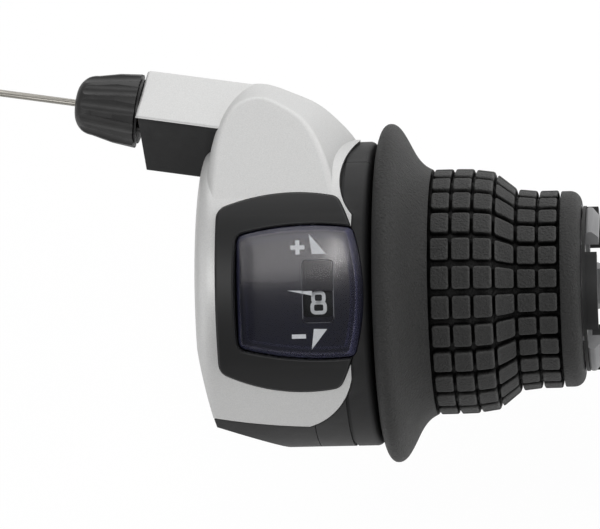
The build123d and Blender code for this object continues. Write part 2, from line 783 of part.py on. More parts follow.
def tangent_point():
    """Point where the wire leaves the drum, and the direction it takes to the elbow."""
    reach = sqrt(NOSE_V**2 + NOSE_W**2)
    angle = atan2(NOSE_V, NOSE_W) - radians(90) + atan2(pitch_r, sqrt(reach**2 - pitch_r**2))
    point = Vector(groove_x, pitch_r * sin(angle), pitch_r * cos(angle))
    return point, (elbow - point).normalized()


def wire_head(clearance):
    """Cylindrical head on the wire's end, or its pocket."""
    point, direction = tangent_point()
    plane = Plane(point - direction * NIPPLE_L, x_dir=(1, 0, 0), z_dir=direction)
    return extrude(plane * Circle(NIPPLE_D / 2 + clearance / 2), NIPPLE_L)


def detent_ring():
    """Click ring with one notch for each gear."""
    detent = ring(DETENT_D / 2, drum_r + SEAT_CLEARANCE, drum_out, detent_out)
    for gear in range(GEARS):
        angle = spring_nose_angle() + gear * CLICK
        notch = Pos(0, 0, DETENT_D / 2 + NOTCH_LIFT) * rod(NOTCH_D / 2, drum_out - PAST, detent_out + PAST)
        detent -= Rot(-angle, 0, 0) * notch
    return detent


def spring_nose_angle():
    """Angle of the index spring's nose around the bar."""
    return SPRING_START + SPRING_SPAN


def index_spring():
    """Leaf spring seated on the case wall, with a round nose in a notch."""
    inner = DETENT_D / 2 + SPRING_GAP
    x0 = (drum_out + detent_out - SPRING_WIDTH) / 2
    x1 = x0 + SPRING_WIDTH
    leaf = ring(inner + SPRING_THICK, inner, x0, x1)
    spring = leaf & sector(2 * case_r, SPRING_START + SPRING_SPAN / 2, SPRING_SPAN, x0, x1)
    foot = Box(SPRING_WIDTH, SPRING_THICK * 2, case_in_r - inner)
    foot = Pos((x0 + x1) / 2, 0, (inner + case_in_r) / 2) * foot
    spring += Rot(-SPRING_START, 0, 0) * foot
    nose = Pos(0, 0, DETENT_D / 2 + NOTCH_LIFT) * rod(NOTCH_D / 2 - SEAM, x0, x1)
    spring += Rot(-spring_nose_angle(), 0, 0) * nose
    return spring & rod(case_in_r, case_in, CASE_OUT_X)


def number_ring():
    """Ring that carries the gear numbers past the dial's window."""
    band = ring(number_r, number_r - NUMBER_WALL, number_in, number_out)
    half = NUMBER_WEB / 2
    web = ring(number_r - NUMBER_WALL / 2, drum_r + SEAT_CLEARANCE, number_x - half, number_x + half)
    return band + web


def grip_core():
    """Rigid tube under the rubber, driven into the drum by its dogs."""
    core = rod(core_r, core_in, grip_out) + rod(CORE_FLANGE_D / 2, flange_in, flange_in + CORE_FLANGE)
    for n in range(DOG_COUNT):
        dog = ring(drum_r, drum_bore, core_in - DOG_LENGTH, core_in)
        core += dog & sector(case_r, n * 360 / DOG_COUNT, DOG_SPAN, core_in - DOG_LENGTH, core_in)
    return core - rod(drum_bore, core_in - DOG_LENGTH - PAST, grip_out + PAST)


def grid_radii():
    """Radii at the two ends of each column: the raised grid, the step and the waist."""
    top = GRID_D / 2
    drop = (GRID_D - WAIST_D) / 2
    return [(top - drop * near, top - drop * far) for near, far in GRID_FALL]


def column_span(column):
    """Ends along the bar of one column of blocks."""
    start = grid_in + column * GRID_PITCH
    return start + GROOVE_W / 2, start + GRID_PITCH - GROOVE_W / 2


def rubber_profile():
    """Half section of the rubber: rim, hollow flank, grooved columns and end ring."""
    rim_r = FLANGE_D / 2
    fall = rim_r - GRID_D / 2
    rim_x = flange_in + FLANGE_RIM
    face_r = case_r - CASE_EDGE_R
    bore = core_r + SEAT_CLEARANCE
    end_r = END_RING_D / 2
    flank_end = grid_in - GROOVE_W / 2
    steps = [(flank_end, GRID_D / 2)]
    for column, radii in enumerate(grid_radii()):
        x0, x1 = column_span(column)
        floor = min(steps[-1][1], radii[0]) - GROOVE_DEPTH
        steps += [(steps[-1][0], floor), (x0, floor), (x0, radii[0]), (x1, radii[1])]
    floor = end_r - GROOVE_DEPTH
    ring_in = grid_out + GROOVE_W / 2
    steps += [(steps[-1][0], floor), (ring_in, floor), (ring_in, end_r), (grip_out - END_RING_R, end_r)]
    edges = [
        Line((flange_in, bore), (flange_in, face_r)),
        ThreePointArc(
            (flange_in, face_r),
            (flange_in + FLANGE_RIM * FLANGE_LIP[0], rim_r - FLANGE_RIM * FLANGE_LIP[1]),
            (rim_x, rim_r),
        ),
        Spline(
            (rim_x, rim_r),
            *[(rim_x + FLANGE_LENGTH * along, rim_r - fall * down) for along, down in FLANK_CURVE],
            steps[0],
            tangents=[(1, 0), (1, FLANK_END_SLOPE)],
        ),
        Polyline(*steps),
        TangentArc(steps[-1], (grip_out, end_r - END_RING_R), tangent=(1, 0)),
        Polyline((grip_out, end_r - END_RING_R), (grip_out, bore), (flange_in, bore)),
    ]
    return make_face(edges)


def row_groove():
    """Cutter for one lengthwise groove between two rows of blocks."""
    x0 = column_span(0)[0]
    x1 = column_span(GRID_COLUMNS - 1)[1]
    floor = [(x0, GRID_D / 2 - GROOVE_DEPTH)]
    for column, radii in enumerate(grid_radii()):
        floor.append((column_span(column)[1], radii[1] - GROOVE_DEPTH))
    outline = Polyline((x0, case_r), *floor, (x1, case_r), close=True)
    return extrude(Plane.XZ * make_face(outline), ROW_GROOVE / 2, both=True)


def grip_rubber():
    """Rubber grip with its flange and grid of blocks."""
    solid = revolve(rubber_profile(), Axis.X)
    recess = flange_in + CORE_FLANGE + SEAT_CLEARANCE
    solid -= rod(CORE_FLANGE_D / 2 + SEAT_CLEARANCE, flange_in - PAST, recess)
    groove = row_groove()
    turns = [Rot((n + 0.5) * 360 / GRID_ROWS, 0, 0) for n in range(GRID_ROWS)]
    return solid - [turn * groove for turn in turns]


# Adjuster on the nose

def collar_pins(diameter, length):
    """Two pins that keep the collar from turning, or their holes in the nose."""
    plane = nose_plane(NOSE_REACH + COLLAR_THICK)
    place = COLLAR_PIN_R / sqrt(2)
    spots = [Pos(side * place, -place) * Circle(diameter / 2) for side in (-1, 1)]
    return [extrude(plane * spot, -length - COLLAR_THICK) for spot in spots]


def click_collar():
    """Thin collar behind the knob that slides but can't turn."""
    start = NOSE_REACH + SEAM
    collar = nose_rod(COLLAR_D, start, NOSE_REACH + COLLAR_THICK)
    for pin in collar_pins(COLLAR_PIN_D, COLLAR_PIN_L):
        collar += pin
    return collar - nose_rod(STEM_D + 2 * STEM_CLEARANCE, start - PAST, NOSE_REACH + COLLAR_THICK + PAST)


def adjuster_barrel():
    """Fluted knob with a rounded tip and a seat for the outer casing."""
    face_r = KNOB_FACE_D / 2
    shoulder = KNOB_LENGTH - KNOB_NOSE
    middle = shoulder / 2
    edges = [
        Polyline((0, 0), (KNOB_D / 2, 0), (KNOB_MID_D / 2, middle), (KNOB_TIP_D / 2, shoulder)),
        ThreePointArc(
            (KNOB_TIP_D / 2, shoulder),
            (face_r + (KNOB_TIP_D / 2 - face_r) * KNOB_BULGE[0], KNOB_LENGTH - KNOB_NOSE * KNOB_BULGE[1]),
            (face_r, KNOB_LENGTH),
        ),
        Polyline((face_r, KNOB_LENGTH), (0, KNOB_LENGTH), (0, 0)),
    ]
    knob = revolve(Plane.XZ * make_face(edges), Axis.Z)
    slope = degrees(atan2((KNOB_D - KNOB_TIP_D) / 2, shoulder))
    flute = Rot(0, -slope, 0) * Cylinder(FLUTE_R, 4 * KNOB_LENGTH)
    for n in range(KNOB_FLUTES):
        spin = Rot(0, 0, n * 360 / KNOB_FLUTES)
        knob -= spin * Pos(KNOB_D / 2 + FLUTE_R - FLUTE_DEPTH, 0, 0) * flute
    knob -= Pos(0, 0, KNOB_LENGTH - CASING_DEPTH / 2) * Cylinder(CASING_D / 2, CASING_DEPTH)
    knob -= Pos(0, 0, STEM_HEAD / 2) * Cylinder(STEM_D / 2 + SEAT_CLEARANCE, STEM_HEAD)
    knob -= Pos(0, 0, KNOB_LENGTH / 2) * Cylinder(WIRE_BORE / 2, 2 * KNOB_LENGTH)
    return nose_plane(knob_base) * knob


def adjuster_stem():
    """Hollow screw fixed in the knob."""
    start = NOSE_REACH - STEM_DEPTH
    end = knob_base + STEM_HEAD - SEAT_CLEARANCE
    return nose_rod(STEM_D, start, end) - nose_rod(WIRE_BORE, start - PAST, end + PAST)


# Shift wire

def along_path(points, diameter, bend):
    """Round bar along straight runs joined by tangent bends."""
    path = FilletPolyline(*points, radius=bend)
    return sweep(Plane(path @ 0, z_dir=path % 0) * Circle(diameter / 2), path=path)


def guide_points():
    """Corners of the wire guide's path, from the drum side to the nose."""
    _, direction = tangent_point()
    return [elbow - direction * GUIDE_ARM, elbow, elbow + nose_dir * GUIDE_ARM]


def wire_guide():
    """Curved tube that turns the wire from the drum into the nose."""
    bore = WIRE_D + 4 * SEAT_CLEARANCE
    tube = along_path(guide_points(), GUIDE_D, GUIDE_BEND_R)
    return tube - along_path(guide_points(), bore, GUIDE_BEND_R)


def inner_wire():
    """Wire inside the case, from its head to the knob's tip."""
    point, _ = tangent_point()
    return along_path([point, elbow, elbow + nose_dir * knob_tip], WIRE_D, GUIDE_BEND_R)


def shift_wire():
    """Free wire from the knob's tip to the coil."""
    return nose_rod(WIRE_D, knob_tip, knob_tip + RUN_OUT)


def coil_plane():
    """Plane of the spare coil: it hangs below the end of the straight run."""
    down = Vector(0, -sin(radians(WINDOW_TILT)), -cos(radians(WINDOW_TILT)))
    down = (down - nose_dir * down.dot(nose_dir)).normalized()
    centre = elbow + nose_dir * (knob_tip + RUN_OUT) + down * (COIL_D / 2)
    return Plane(centre, x_dir=down * -1, z_dir=(down * -1).cross(nose_dir))


def wire_coil():
    """Outer form of the coiled spare wire."""
    return coil_plane() * Torus(COIL_D / 2, COIL_BUNDLE_D / 2)


def coil_tie():
    """Band around the coil's bundle."""
    bore = COIL_BUNDLE_D / 2 + 2 * SEAM
    band = Cylinder(bore + TIE_WALL, TIE_WIDTH) - Cylinder(bore, 2 * TIE_WIDTH)
    return coil_plane() * Rot(0, 0, TIE_ANGLE) * Pos(COIL_D / 2, 0, 0) * Rot(90, 0, 0) * band


def wire_end_cap():
    """Crimped cap on the wire's far end, lying on the coil."""
    lift = (COIL_BUNDLE_D + CAP_D) / 2
    cap = Cylinder(CAP_D / 2, CAP_LENGTH)
    return coil_plane() * Rot(0, 0, CAP_ANGLE) * Pos(COIL_D / 2, 0, lift) * Rot(90, 0, 0) * cap


def save(name, shape):
    """Turn a piece into the part's frame and write it."""
    pieces = shape if isinstance(shape, list) else [shape]
    turned_pieces = [Rot(WINDOW_TILT, 0, 0) * piece for piece in pieces]
    solids = [solid for piece in turned_pieces for solid in piece.solids()]
    export_step(solids[0] if len(solids) == 1 else Compound(solids), f"parts/{name}.step")


def main():
    """Build every piece and write one file for each."""
    os.makedirs("parts", exist_ok=True)
    form, cavity = cover_solids()
    outboard = outboard_case()
    pieces = {
        "front_cover": front_cover(form, cavity),
        "rear_cover": rear_cover(cavity),
        "bracket_case": bracket_case(),
        "case_front_half": case_half(outboard, -1),
        "case_rear_half": case_half(outboard, 1),
        "bezel": bezel(),
        "lens": lens(),
        "dial_plate": dial_plate(),
        "inner_sleeve": inner_sleeve(),
        "end_washer": end_washer(),
        "clamp_screw": clamp_screw(),
        "clamp_nut": clamp_nut(),
        "cover_screws": cover_screws(),
        "case_screws": case_screws(),
        "index_spring": index_spring(),
        "wire_guide": wire_guide(),
        "inner_wire": inner_wire(),
        "cable_drum": cable_drum(),
        "wire_head": wire_head(0),
        "detent_ring": detent_ring(),
        "number_ring": number_ring(),
        "grip_core": grip_core(),
        "grip_rubber": grip_rubber(),
        "click_collar": click_collar(),
        "adjuster_barrel": adjuster_barrel(),
        "adjuster_stem": adjuster_stem(),
        "shift_wire": shift_wire(),
        "wire_coil": wire_coil(),
        "coil_tie": coil_tie(),
        "wire_end_cap": wire_end_cap(),
    }
    for name, shape in pieces.items():
        save(name, shape)


if __name__ == "__main__":
    main()
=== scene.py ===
"""Looks of a bicycle twist grip shifter: finishes, finer meshes, prints, shift wire and studio."""

from __future__ import annotations

import json
import logging
import math
from dataclasses import dataclass, field
from enum import Enum
from typing import Any, Iterable, Sequence, Union

import bpy
from mathutils import Matrix, Vector

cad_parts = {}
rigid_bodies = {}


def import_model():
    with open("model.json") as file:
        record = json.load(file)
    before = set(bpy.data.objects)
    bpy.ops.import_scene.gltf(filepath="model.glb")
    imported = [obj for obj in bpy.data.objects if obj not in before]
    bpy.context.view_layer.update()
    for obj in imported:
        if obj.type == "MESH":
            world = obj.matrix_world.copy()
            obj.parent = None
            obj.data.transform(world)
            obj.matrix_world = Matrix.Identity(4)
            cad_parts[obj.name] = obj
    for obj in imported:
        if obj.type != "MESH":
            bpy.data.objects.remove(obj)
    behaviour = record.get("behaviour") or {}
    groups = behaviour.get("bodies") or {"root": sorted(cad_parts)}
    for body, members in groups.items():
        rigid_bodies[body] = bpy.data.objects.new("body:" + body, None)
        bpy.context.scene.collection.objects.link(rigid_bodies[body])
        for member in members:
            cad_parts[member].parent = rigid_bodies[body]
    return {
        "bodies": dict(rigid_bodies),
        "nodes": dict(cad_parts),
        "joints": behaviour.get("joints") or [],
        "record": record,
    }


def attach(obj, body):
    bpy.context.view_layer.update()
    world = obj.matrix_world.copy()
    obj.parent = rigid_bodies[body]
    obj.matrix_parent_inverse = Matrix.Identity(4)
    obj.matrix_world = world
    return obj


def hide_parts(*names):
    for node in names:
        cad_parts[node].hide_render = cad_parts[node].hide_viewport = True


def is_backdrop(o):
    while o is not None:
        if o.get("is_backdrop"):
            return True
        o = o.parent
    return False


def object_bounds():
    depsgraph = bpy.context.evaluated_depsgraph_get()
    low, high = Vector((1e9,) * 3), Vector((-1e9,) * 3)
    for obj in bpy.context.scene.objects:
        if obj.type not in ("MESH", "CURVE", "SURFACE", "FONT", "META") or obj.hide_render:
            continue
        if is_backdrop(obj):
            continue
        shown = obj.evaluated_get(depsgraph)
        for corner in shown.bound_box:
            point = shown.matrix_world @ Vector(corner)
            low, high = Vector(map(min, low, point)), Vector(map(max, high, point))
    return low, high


LOG = logging.getLogger("twist_shifter")
MM = 0.001
WINDOW_TILT = math.radians(45.0)
# Centre of the window's round crown, in the drawing frame and in millimetres.
CROWN_CENTRE = (-10.7, 0.7, -40.8)
ROUND_STEPS = 4
# Mesh attribute of the grip blocks' edges, whose colour is made lighter as a painted highlight.
PAINTED_EDGE_HIGHLIGHT = "rubbed"

Colour = tuple[float, float, float]
Point2 = tuple[float, float]
Feed = Union[float, Sequence[float], bpy.types.NodeSocket]


class Body(Enum):
    """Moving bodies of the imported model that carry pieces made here."""

    HOUSING = "housing"
    TWIST = "twist"


class Surface(Enum):
    """Kinds of material that are built in different ways."""

    MOULDED = "moulded"
    PAINTED = "painted"
    CLEAR = "clear"
    FILM = "film"
    STRANDED = "stranded"
    PRINTED = "printed"


# Points and meshes


def world_point(x: float, up: float, out: float) -> Vector:
    """Turn a point of the drawing frame into the part's frame.

    Args:
        x: Place along the bar, in millimetres.
        up: Height towards the wire nose, square to the window normal, in millimetres.
        out: Distance along the window normal, in millimetres.

    Returns:
        The point in metres.
    """
    c, s = math.cos(WINDOW_TILT), math.sin(WINDOW_TILT)
    return Vector((x, up * c - out * s, up * s + out * c)) * MM


def world_axis(x: float, up: float, out: float) -> Vector:
    """Turn a direction of the drawing frame into the part's frame.

    Args:
        x: Share along the bar.
        up: Share towards the wire nose.
        out: Share along the window normal.

    Returns:
        The direction, as long as the given one.
    """
    return world_point(x, up, out) / MM


def on_barrel(x: float, angle: float, radius: float) -> Vector:
    """Point on a cylinder about the bar.

    Args:
        x: Place along the bar, in millimetres.
        angle: Angle from the window normal towards the nose, in radians.
        radius: Radius in millimetres.

    Returns:
        The point in metres.
    """
    return world_point(x, radius * math.sin(angle), radius * math.cos(angle))


def new_object(name: str, verts: Sequence[Vector], faces: Sequence[Sequence[int]], smooth: bool) -> bpy.types.Object:
    """Make a mesh object from points and faces.

    Args:
        name: Object name.
        verts: Points in metres.
        faces: Lists of point numbers.
        smooth: True for smooth shading.

    Returns:
        The linked object.
    """
    mesh = bpy.data.meshes.new(name)
    mesh.from_pydata([tuple(v) for v in verts], [], [tuple(f) for f in faces])
    mesh.validate()
    if smooth:
        mesh.shade_smooth()
    obj = bpy.data.objects.new(name, mesh)
    bpy.context.scene.collection.objects.link(obj)
    return obj


def dress(obj: bpy.types.Object, material: bpy.types.Material) -> None:
    """Give an object one material.

    Args:
        obj: The object.
        material: The material.
    """
    obj.data.materials.clear()
    obj.data.materials.append(material)


def round_line(corners: Sequence[Vector], radius: float) -> list[Vector]:
    """Line with round corners.

    Args:
        corners: Its corners.
        radius: How far from a corner the rounding starts.

    Returns:
        Points along the line.
    """
    line = [corners[0]]
    for before, corner, after in zip(corners, corners[1:], corners[2:]):
        start = corner + (before - corner).normalized() * radius
        end = corner + (after - corner).normalized() * radius
        for step in range(ROUND_STEPS + 1):
            t = step / ROUND_STEPS
            line.append(start * (1 - t) ** 2 + corner * (2 * t * (1 - t)) + end * t**2)
    return line + [corners[-1]]


def ribbon(line: Sequence[Vector], width: float) -> list[tuple[Vector, Vector]]:
    """Two sides of a stroke along a line.

    Args:
        line: Its middle line.
        width: Width of the stroke.

    Returns:
        A pair of side points for each point of the line.
    """
    pairs = []
    for i, point in enumerate(line):
        ahead = (line[min(i + 1, len(line) - 1)] - line[max(i - 1, 0)]).normalized()
        side = Vector((-ahead.y, ahead.x)) * (width / 2)
        pairs.append((point + side, point - side))
    return pairs


# Nodes


def plug(tree: bpy.types.NodeTree, feed: Feed, socket: bpy.types.NodeSocket) -> None:
    """Feed a socket with a link, or with a constant set on it.

    Args:
        tree: Nodes that hold the socket.
        feed: Socket to link from, or the constant.
        socket: Socket to feed.
    """
    if isinstance(feed, bpy.types.NodeSocket):
        tree.links.new(feed, socket)
    else:
        socket.default_value = feed


def place(
    tree: bpy.types.NodeTree, kind: str, feeds: dict[Any, Feed] | None = None, **settings: Any
) -> bpy.types.Node:
    """Place a node and feed its inputs.

    Args:
        tree: Nodes to add to.
        kind: Node type, without its common first part.
        feeds: What feeds its inputs, by their names or numbers.
        **settings: The node's own settings, by name.

    Returns:
        The node.
    """
    node = tree.nodes.new("ShaderNode" + kind)
    for name, setting in settings.items():
        setattr(node, name, setting)
    for key, feed in (feeds or {}).items():
        plug(tree, feed, node.inputs[key])
    return node


def work_out(tree: bpy.types.NodeTree, operation: str, *feeds: Feed) -> bpy.types.NodeSocket:
    """Work out a value.

    Args:
        tree: Nodes to add to.
        operation: Operation of the Math node.
        *feeds: What it works on.

    Returns:
        The value.
    """
    return place(tree, "Math", dict(enumerate(feeds)), operation=operation).outputs[0]


def remap(
    tree: bpy.types.NodeTree, feed: Feed, source: Point2, target: tuple[Feed, Feed] = (0.0, 1.0)
) -> bpy.types.NodeSocket:
    """Move a value from one range to another, held at its ends.

    Args:
        tree: Nodes to add to.
        feed: The value.
        source: Range it comes from.
        target: Range it goes to.

    Returns:
        The new value.
    """
    ends = {"From Min": source[0], "From Max": source[1], "To Min": target[0], "To Max": target[1]}
    return place(tree, "MapRange", {"Value": feed, **ends}).outputs["Result"]


def blend(tree: bpy.types.NodeTree, mode: str, a: Feed, b: Feed, factor: Feed = 1.0) -> bpy.types.NodeSocket:
    """Mix two colours.

    Args:
        tree: Nodes to add to.
        mode: Blend type.
        a: First colour.
        b: Second colour.
        factor: Share of the second.

    Returns:
        The mixed colour.
    """
    feeds = {0: factor, 6: a, 7: b}
    return place(tree, "Mix", feeds, data_type="RGBA", blend_type=mode).outputs[2]


def layer(tree: bpy.types.NodeTree, under: bpy.types.Node, over: bpy.types.Node, share: Feed) -> bpy.types.Node:
    """Lay one shader over another.

    Args:
        tree: Nodes to add to.
        under: Lower shader.
        over: Upper shader.
        share: Share of the upper one.

    Returns:
        The mixed shader.
    """
    return place(tree, "MixShader", {0: share, 1: under.outputs[0], 2: over.outputs[0]})


# Shared effects


class EffectLibrary:
    """Node groups that more than one finish may use. Each gives colours, masks, values or normals only."""

    def __init__(self) -> None:
        """Build every group once."""
        self.grain = self._grain()
        self.mottle = self._mottle()
        self.wear_and_highlight = self._wear_and_highlight()
        self.flakes = self._flakes()
        self.strands = self._strands()
        self.cavity = self._cavity()
        self.crown = self._crown()

    @staticmethod
    def _group(name: str, inputs: Iterable[tuple[str, float]], outputs: Iterable[tuple[str, str]]) -> tuple:
        """Start a group.

        Args:
            name: Group name.
            inputs: Names and defaults of its value inputs.
            outputs: Names and kinds of its outputs.

        Returns:
            The group, the sockets it is given and the sockets it puts out.
        """
        tree = bpy.data.node_groups.new(name, "ShaderNodeTree")
        for label, default in inputs:
            socket = tree.interface.new_socket(label, in_out="INPUT", socket_type="NodeSocketFloat")
            socket.default_value = default
        for label, kind in outputs:
            tree.interface.new_socket(label, in_out="OUTPUT", socket_type="NodeSocket" + kind)
        return tree, tree.nodes.new("NodeGroupInput").outputs, tree.nodes.new("NodeGroupOutput").inputs

    @staticmethod
    def _spot(tree: bpy.types.NodeTree, space: str = "Object") -> bpy.types.NodeSocket:
        """Coordinates of a place on the piece, in the space named."""
        return place(tree, "TexCoord").outputs[space]

    def _grain(self) -> bpy.types.NodeTree:
        """Fine grain of a mould or of rubber.

        Returns:
            A group with a Normal output.
        """
        tree, given, out = self._group("fine_grain", [("Scale", 3000.0), ("Depth", 0.02)], [("Normal", "Vector")])
        cells = {"Vector": self._spot(tree), "Scale": given["Scale"], "Detail": 3.0, "Roughness": 0.62}
        height = place(tree, "TexNoise", cells).outputs["Fac"]
        depth = work_out(tree, "MULTIPLY", given["Depth"], MM)
        bump = place(tree, "Bump", {"Strength": 1.0, "Distance": depth, "Height": height})
        plug(tree, bump.outputs["Normal"], out["Normal"])
        return tree

    def _mottle(self) -> bpy.types.NodeTree:
        """Slow change of tone and gloss over a surface.

        Returns:
            A group with a Value output about 1.
        """
        tree, given, out = self._group("slow_mottle", [("Scale", 120.0), ("Amount", 0.1)], [("Value", "Float")])
        cells = {"Vector": self._spot(tree), "Scale": given["Scale"], "Detail": 4.0}
        centred = work_out(tree, "SUBTRACT", place(tree, "TexNoise", cells).outputs["Fac"], 0.5)
        plug(tree, work_out(tree, "MULTIPLY_ADD", centred, given["Amount"], 1.0), out["Value"])
        return tree

    def _wear_and_highlight(self) -> bpy.types.NodeTree:
        """Mask of the edges made lighter: worn edges, and on the grip rubber a painted highlight along the blocks'
        edges.

        Returns:
            A group with a Mask output from 0 to 1.
        """
        tree, given, out = self._group("edge_wear", [("Amount", 0.3)], [("Mask", "Float")])
        edge = remap(tree, place(tree, "NewGeometry").outputs["Pointiness"], (0.51, 0.6))
        rubbed = place(tree, "Attribute", attribute_name=PAINTED_EDGE_HIGHLIGHT).outputs["Fac"]
        patches = place(tree, "TexNoise", {"Vector": self._spot(tree), "Scale": 420.0}).outputs["Fac"]
        broken = work_out(tree, "MULTIPLY", work_out(tree, "MAXIMUM", edge, rubbed), patches)
        plug(tree, work_out(tree, "MULTIPLY", broken, given["Amount"]), out["Mask"])
        return tree

    def _flakes(self) -> bpy.types.NodeTree:
        """Tiny metal flakes in silver paint.

        Returns:
            A group with a Value output about 1 and a Normal output.
        """
        tree, given, out = self._group(
            "paint_flakes", [("Scale", 9000.0), ("Amount", 0.1)], [("Value", "Float"), ("Normal", "Vector")]
        )
        cells = place(tree, "TexVoronoi", {"Vector": self._spot(tree), "Scale": given["Scale"]})
        flake = place(tree, "SeparateColor", {"Color": cells.outputs["Color"]}).outputs
        bump = place(tree, "Bump", {"Strength": given["Amount"], "Distance": 0.01 * MM, "Height": flake[1]})
        plug(tree, remap(tree, flake[0], (0.0, 1.0), (0.93, 1.07)), out["Value"])
        plug(tree, bump.outputs["Normal"], out["Normal"])
        return tree

    def _strands(self) -> bpy.types.NodeTree:
        """Twisted strands of a steel wire, from the curve's own coordinates.

        Returns:
            A group with a Normal output and a Shade output.
        """
        tree, given, out = self._group(
            "wire_strands", [("Turns", 300.0), ("Strands", 12.0)], [("Normal", "Vector"), ("Shade", "Float")]
        )
        spot = place(tree, "SeparateXYZ", {0: self._spot(tree, "UV")}).outputs
        along = work_out(tree, "MULTIPLY", spot["X"], given["Turns"])
        around = work_out(tree, "MULTIPLY", spot["Y"], given["Strands"])
        wave = work_out(tree, "PINGPONG", work_out(tree, "ADD", along, around), 0.5)
        bump = place(tree, "Bump", {"Strength": 0.8, "Distance": 0.12 * MM, "Height": wave})
        plug(tree, bump.outputs["Normal"], out["Normal"])
        plug(tree, remap(tree, wave, (0.0, 0.3), (0.45, 1.0)), out["Shade"])
        return tree

    def _cavity(self) -> bpy.types.NodeTree:
        """Painted shade of grooves and tight corners, from how much of the space around a place is open.

        Returns:
            A group with a Value output, 1 in the open and lower in a groove.
        """
        tree, given, out = self._group("cavity_shade", [("Reach", 1.5), ("Lowest", 0.3)], [("Value", "Float")])
        reach = work_out(tree, "MULTIPLY", given["Reach"], MM)
        open_share = place(tree, "AmbientOcclusion", {"Distance": reach}, samples=8).outputs["AO"]
        plug(tree, remap(tree, open_share, (0.42, 0.92), (given["Lowest"], 1.0)), out["Value"])
        return tree

    def _crown(self) -> bpy.types.NodeTree:
        """True normal of the window's round crown, and the mesh's own on steep edges.

        Returns:
            A group with a Normal output.
        """
        tree, _, out = self._group("window_crown", [], [("Normal", "Vector")])
        own = place(tree, "NewGeometry").outputs["Normal"]
        facing = place(tree, "VectorMath", {0: own, 1: world_axis(0, 0, 1)}, operation="DOT_PRODUCT")
        arm = place(tree, "VectorMath", {0: self._spot(tree), 1: world_point(*CROWN_CENTRE)}, operation="SUBTRACT")
        crown = place(tree, "VectorMath", {0: arm.outputs["Vector"]}, operation="NORMALIZE")
        share = remap(tree, facing.outputs["Value"], (0.93, 0.97))
        mixed = place(tree, "Mix", {0: share, 4: own, 5: crown.outputs["Vector"]}, data_type="VECTOR")
        plug(tree, mixed.outputs[1], out["Normal"])
        return tree


# Finishes


@dataclass(frozen=True)
class Finish:
    """What a surface looks like.

    Attributes:
        name: Material name, the same as the record's slot.
        surface: How the material is built.
        colour: Base colour, linear.
        roughness: Gloss, 0 for a mirror.
        metallic: Share of metal reflection.
        coat: Weight of a clear coat.
        specular: Strength of the plain reflection.
        grain_scale: Cells per metre of the fine grain.
        grain_depth: Depth of the fine grain, in millimetres.
        mottle: Amount of slow tone change.
        wear_and_highlight: Strength of the lighter edges: worn ones, and on the grip rubber a painted highlight.
        wear_and_highlight_colour: Colour of those lighter edges, linear.
        cavity: Lowest painted shade in grooves and tight corners, 1 for none.
    """

    name: str
    surface: Surface
    colour: Colour
    roughness: float
    metallic: float = 0.0
    coat: float = 0.0
    specular: float = 0.5
    grain_scale: float = 2500.0
    grain_depth: float = 0.01
    mottle: float = 0.1
    wear_and_highlight: float = 0.2
    wear_and_highlight_colour: Colour = (0.12, 0.12, 0.12)
    cavity: float = 1.0

    @property
    def rgba(self) -> tuple[float, ...]:
        """Base colour with a full alpha."""
        return (*self.colour, 1.0)


FINISHES: tuple[Finish, ...] = (
    Finish("silver_cover", Surface.PAINTED, (0.635, 0.635, 0.63), 0.46, metallic=0.35, coat=0.08, wear_and_highlight=0.0),
    Finish(
        "black_case",
        Surface.MOULDED,
        (0.008, 0.008, 0.0085),
        0.55,
        specular=0.36,
        grain_scale=3800.0,
        grain_depth=0.03,
    ),
    Finish(
        "charcoal_bezel",
        Surface.MOULDED,
        (0.008, 0.008, 0.0085),
        0.45,
        specular=0.4,
        grain_scale=5200.0,
        grain_depth=0.006,
    ),
    Finish("clear_lens", Surface.CLEAR, (0.965, 0.975, 0.99), 0.12),
    Finish("dial_black", Surface.FILM, (0.0028, 0.0044, 0.0155), 0.2, specular=0.82),
    Finish("grey_sleeve", Surface.MOULDED, (0.2, 0.2, 0.205), 0.42, grain_depth=0.006, wear_and_highlight_colour=(0.35, 0.35, 0.35)),
    Finish("steel", Surface.MOULDED, (0.55, 0.55, 0.54), 0.32, metallic=1.0, grain_depth=0.004, wear_and_highlight=0.0),
    Finish("wire_steel", Surface.STRANDED, (0.45, 0.43, 0.39), 0.34, metallic=0.9, wear_and_highlight=0.0),
    Finish("guide_plastic", Surface.MOULDED, (0.6, 0.6, 0.58), 0.4, wear_and_highlight=0.0),
    Finish("drum_plastic", Surface.MOULDED, (0.16, 0.16, 0.17), 0.45),
    Finish("number_black", Surface.MOULDED, (0.004, 0.0045, 0.006), 0.45, specular=0.3, wear_and_highlight=0.0),
    Finish(
        "grip_rubber",
        Surface.MOULDED,
        (0.02, 0.02, 0.0195),
        0.6,
        grain_scale=2300.0,
        grain_depth=0.55,
        mottle=0.3,
        # Edges painted lighter as a highlight, and grooves darkened with painted shade.
        wear_and_highlight=0.9,
        wear_and_highlight_colour=(0.11, 0.11, 0.108),
        cavity=0.1,
    ),
    Finish("adjuster_black", Surface.MOULDED, (0.013, 0.0125, 0.0125), 0.42, grain_depth=0.008),
    Finish("stem_brass", Surface.MOULDED, (0.72, 0.52, 0.24), 0.3, metallic=1.0, wear_and_highlight=0.0),
    Finish("tie_plastic", Surface.MOULDED, (0.03, 0.03, 0.03), 0.4),
    Finish("cap_aluminium", Surface.MOULDED, (0.7, 0.7, 0.7), 0.35, metallic=1.0, wear_and_highlight=0.0),
    Finish("print_white", Surface.PRINTED, (0.85, 0.85, 0.84), 0.5),
    Finish("print_grey", Surface.FILM, (0.004, 0.005, 0.012), 0.24, specular=0.5),
    Finish("print_line", Surface.PRINTED, (0.2, 0.2, 0.21), 0.5, specular=0.1),
)


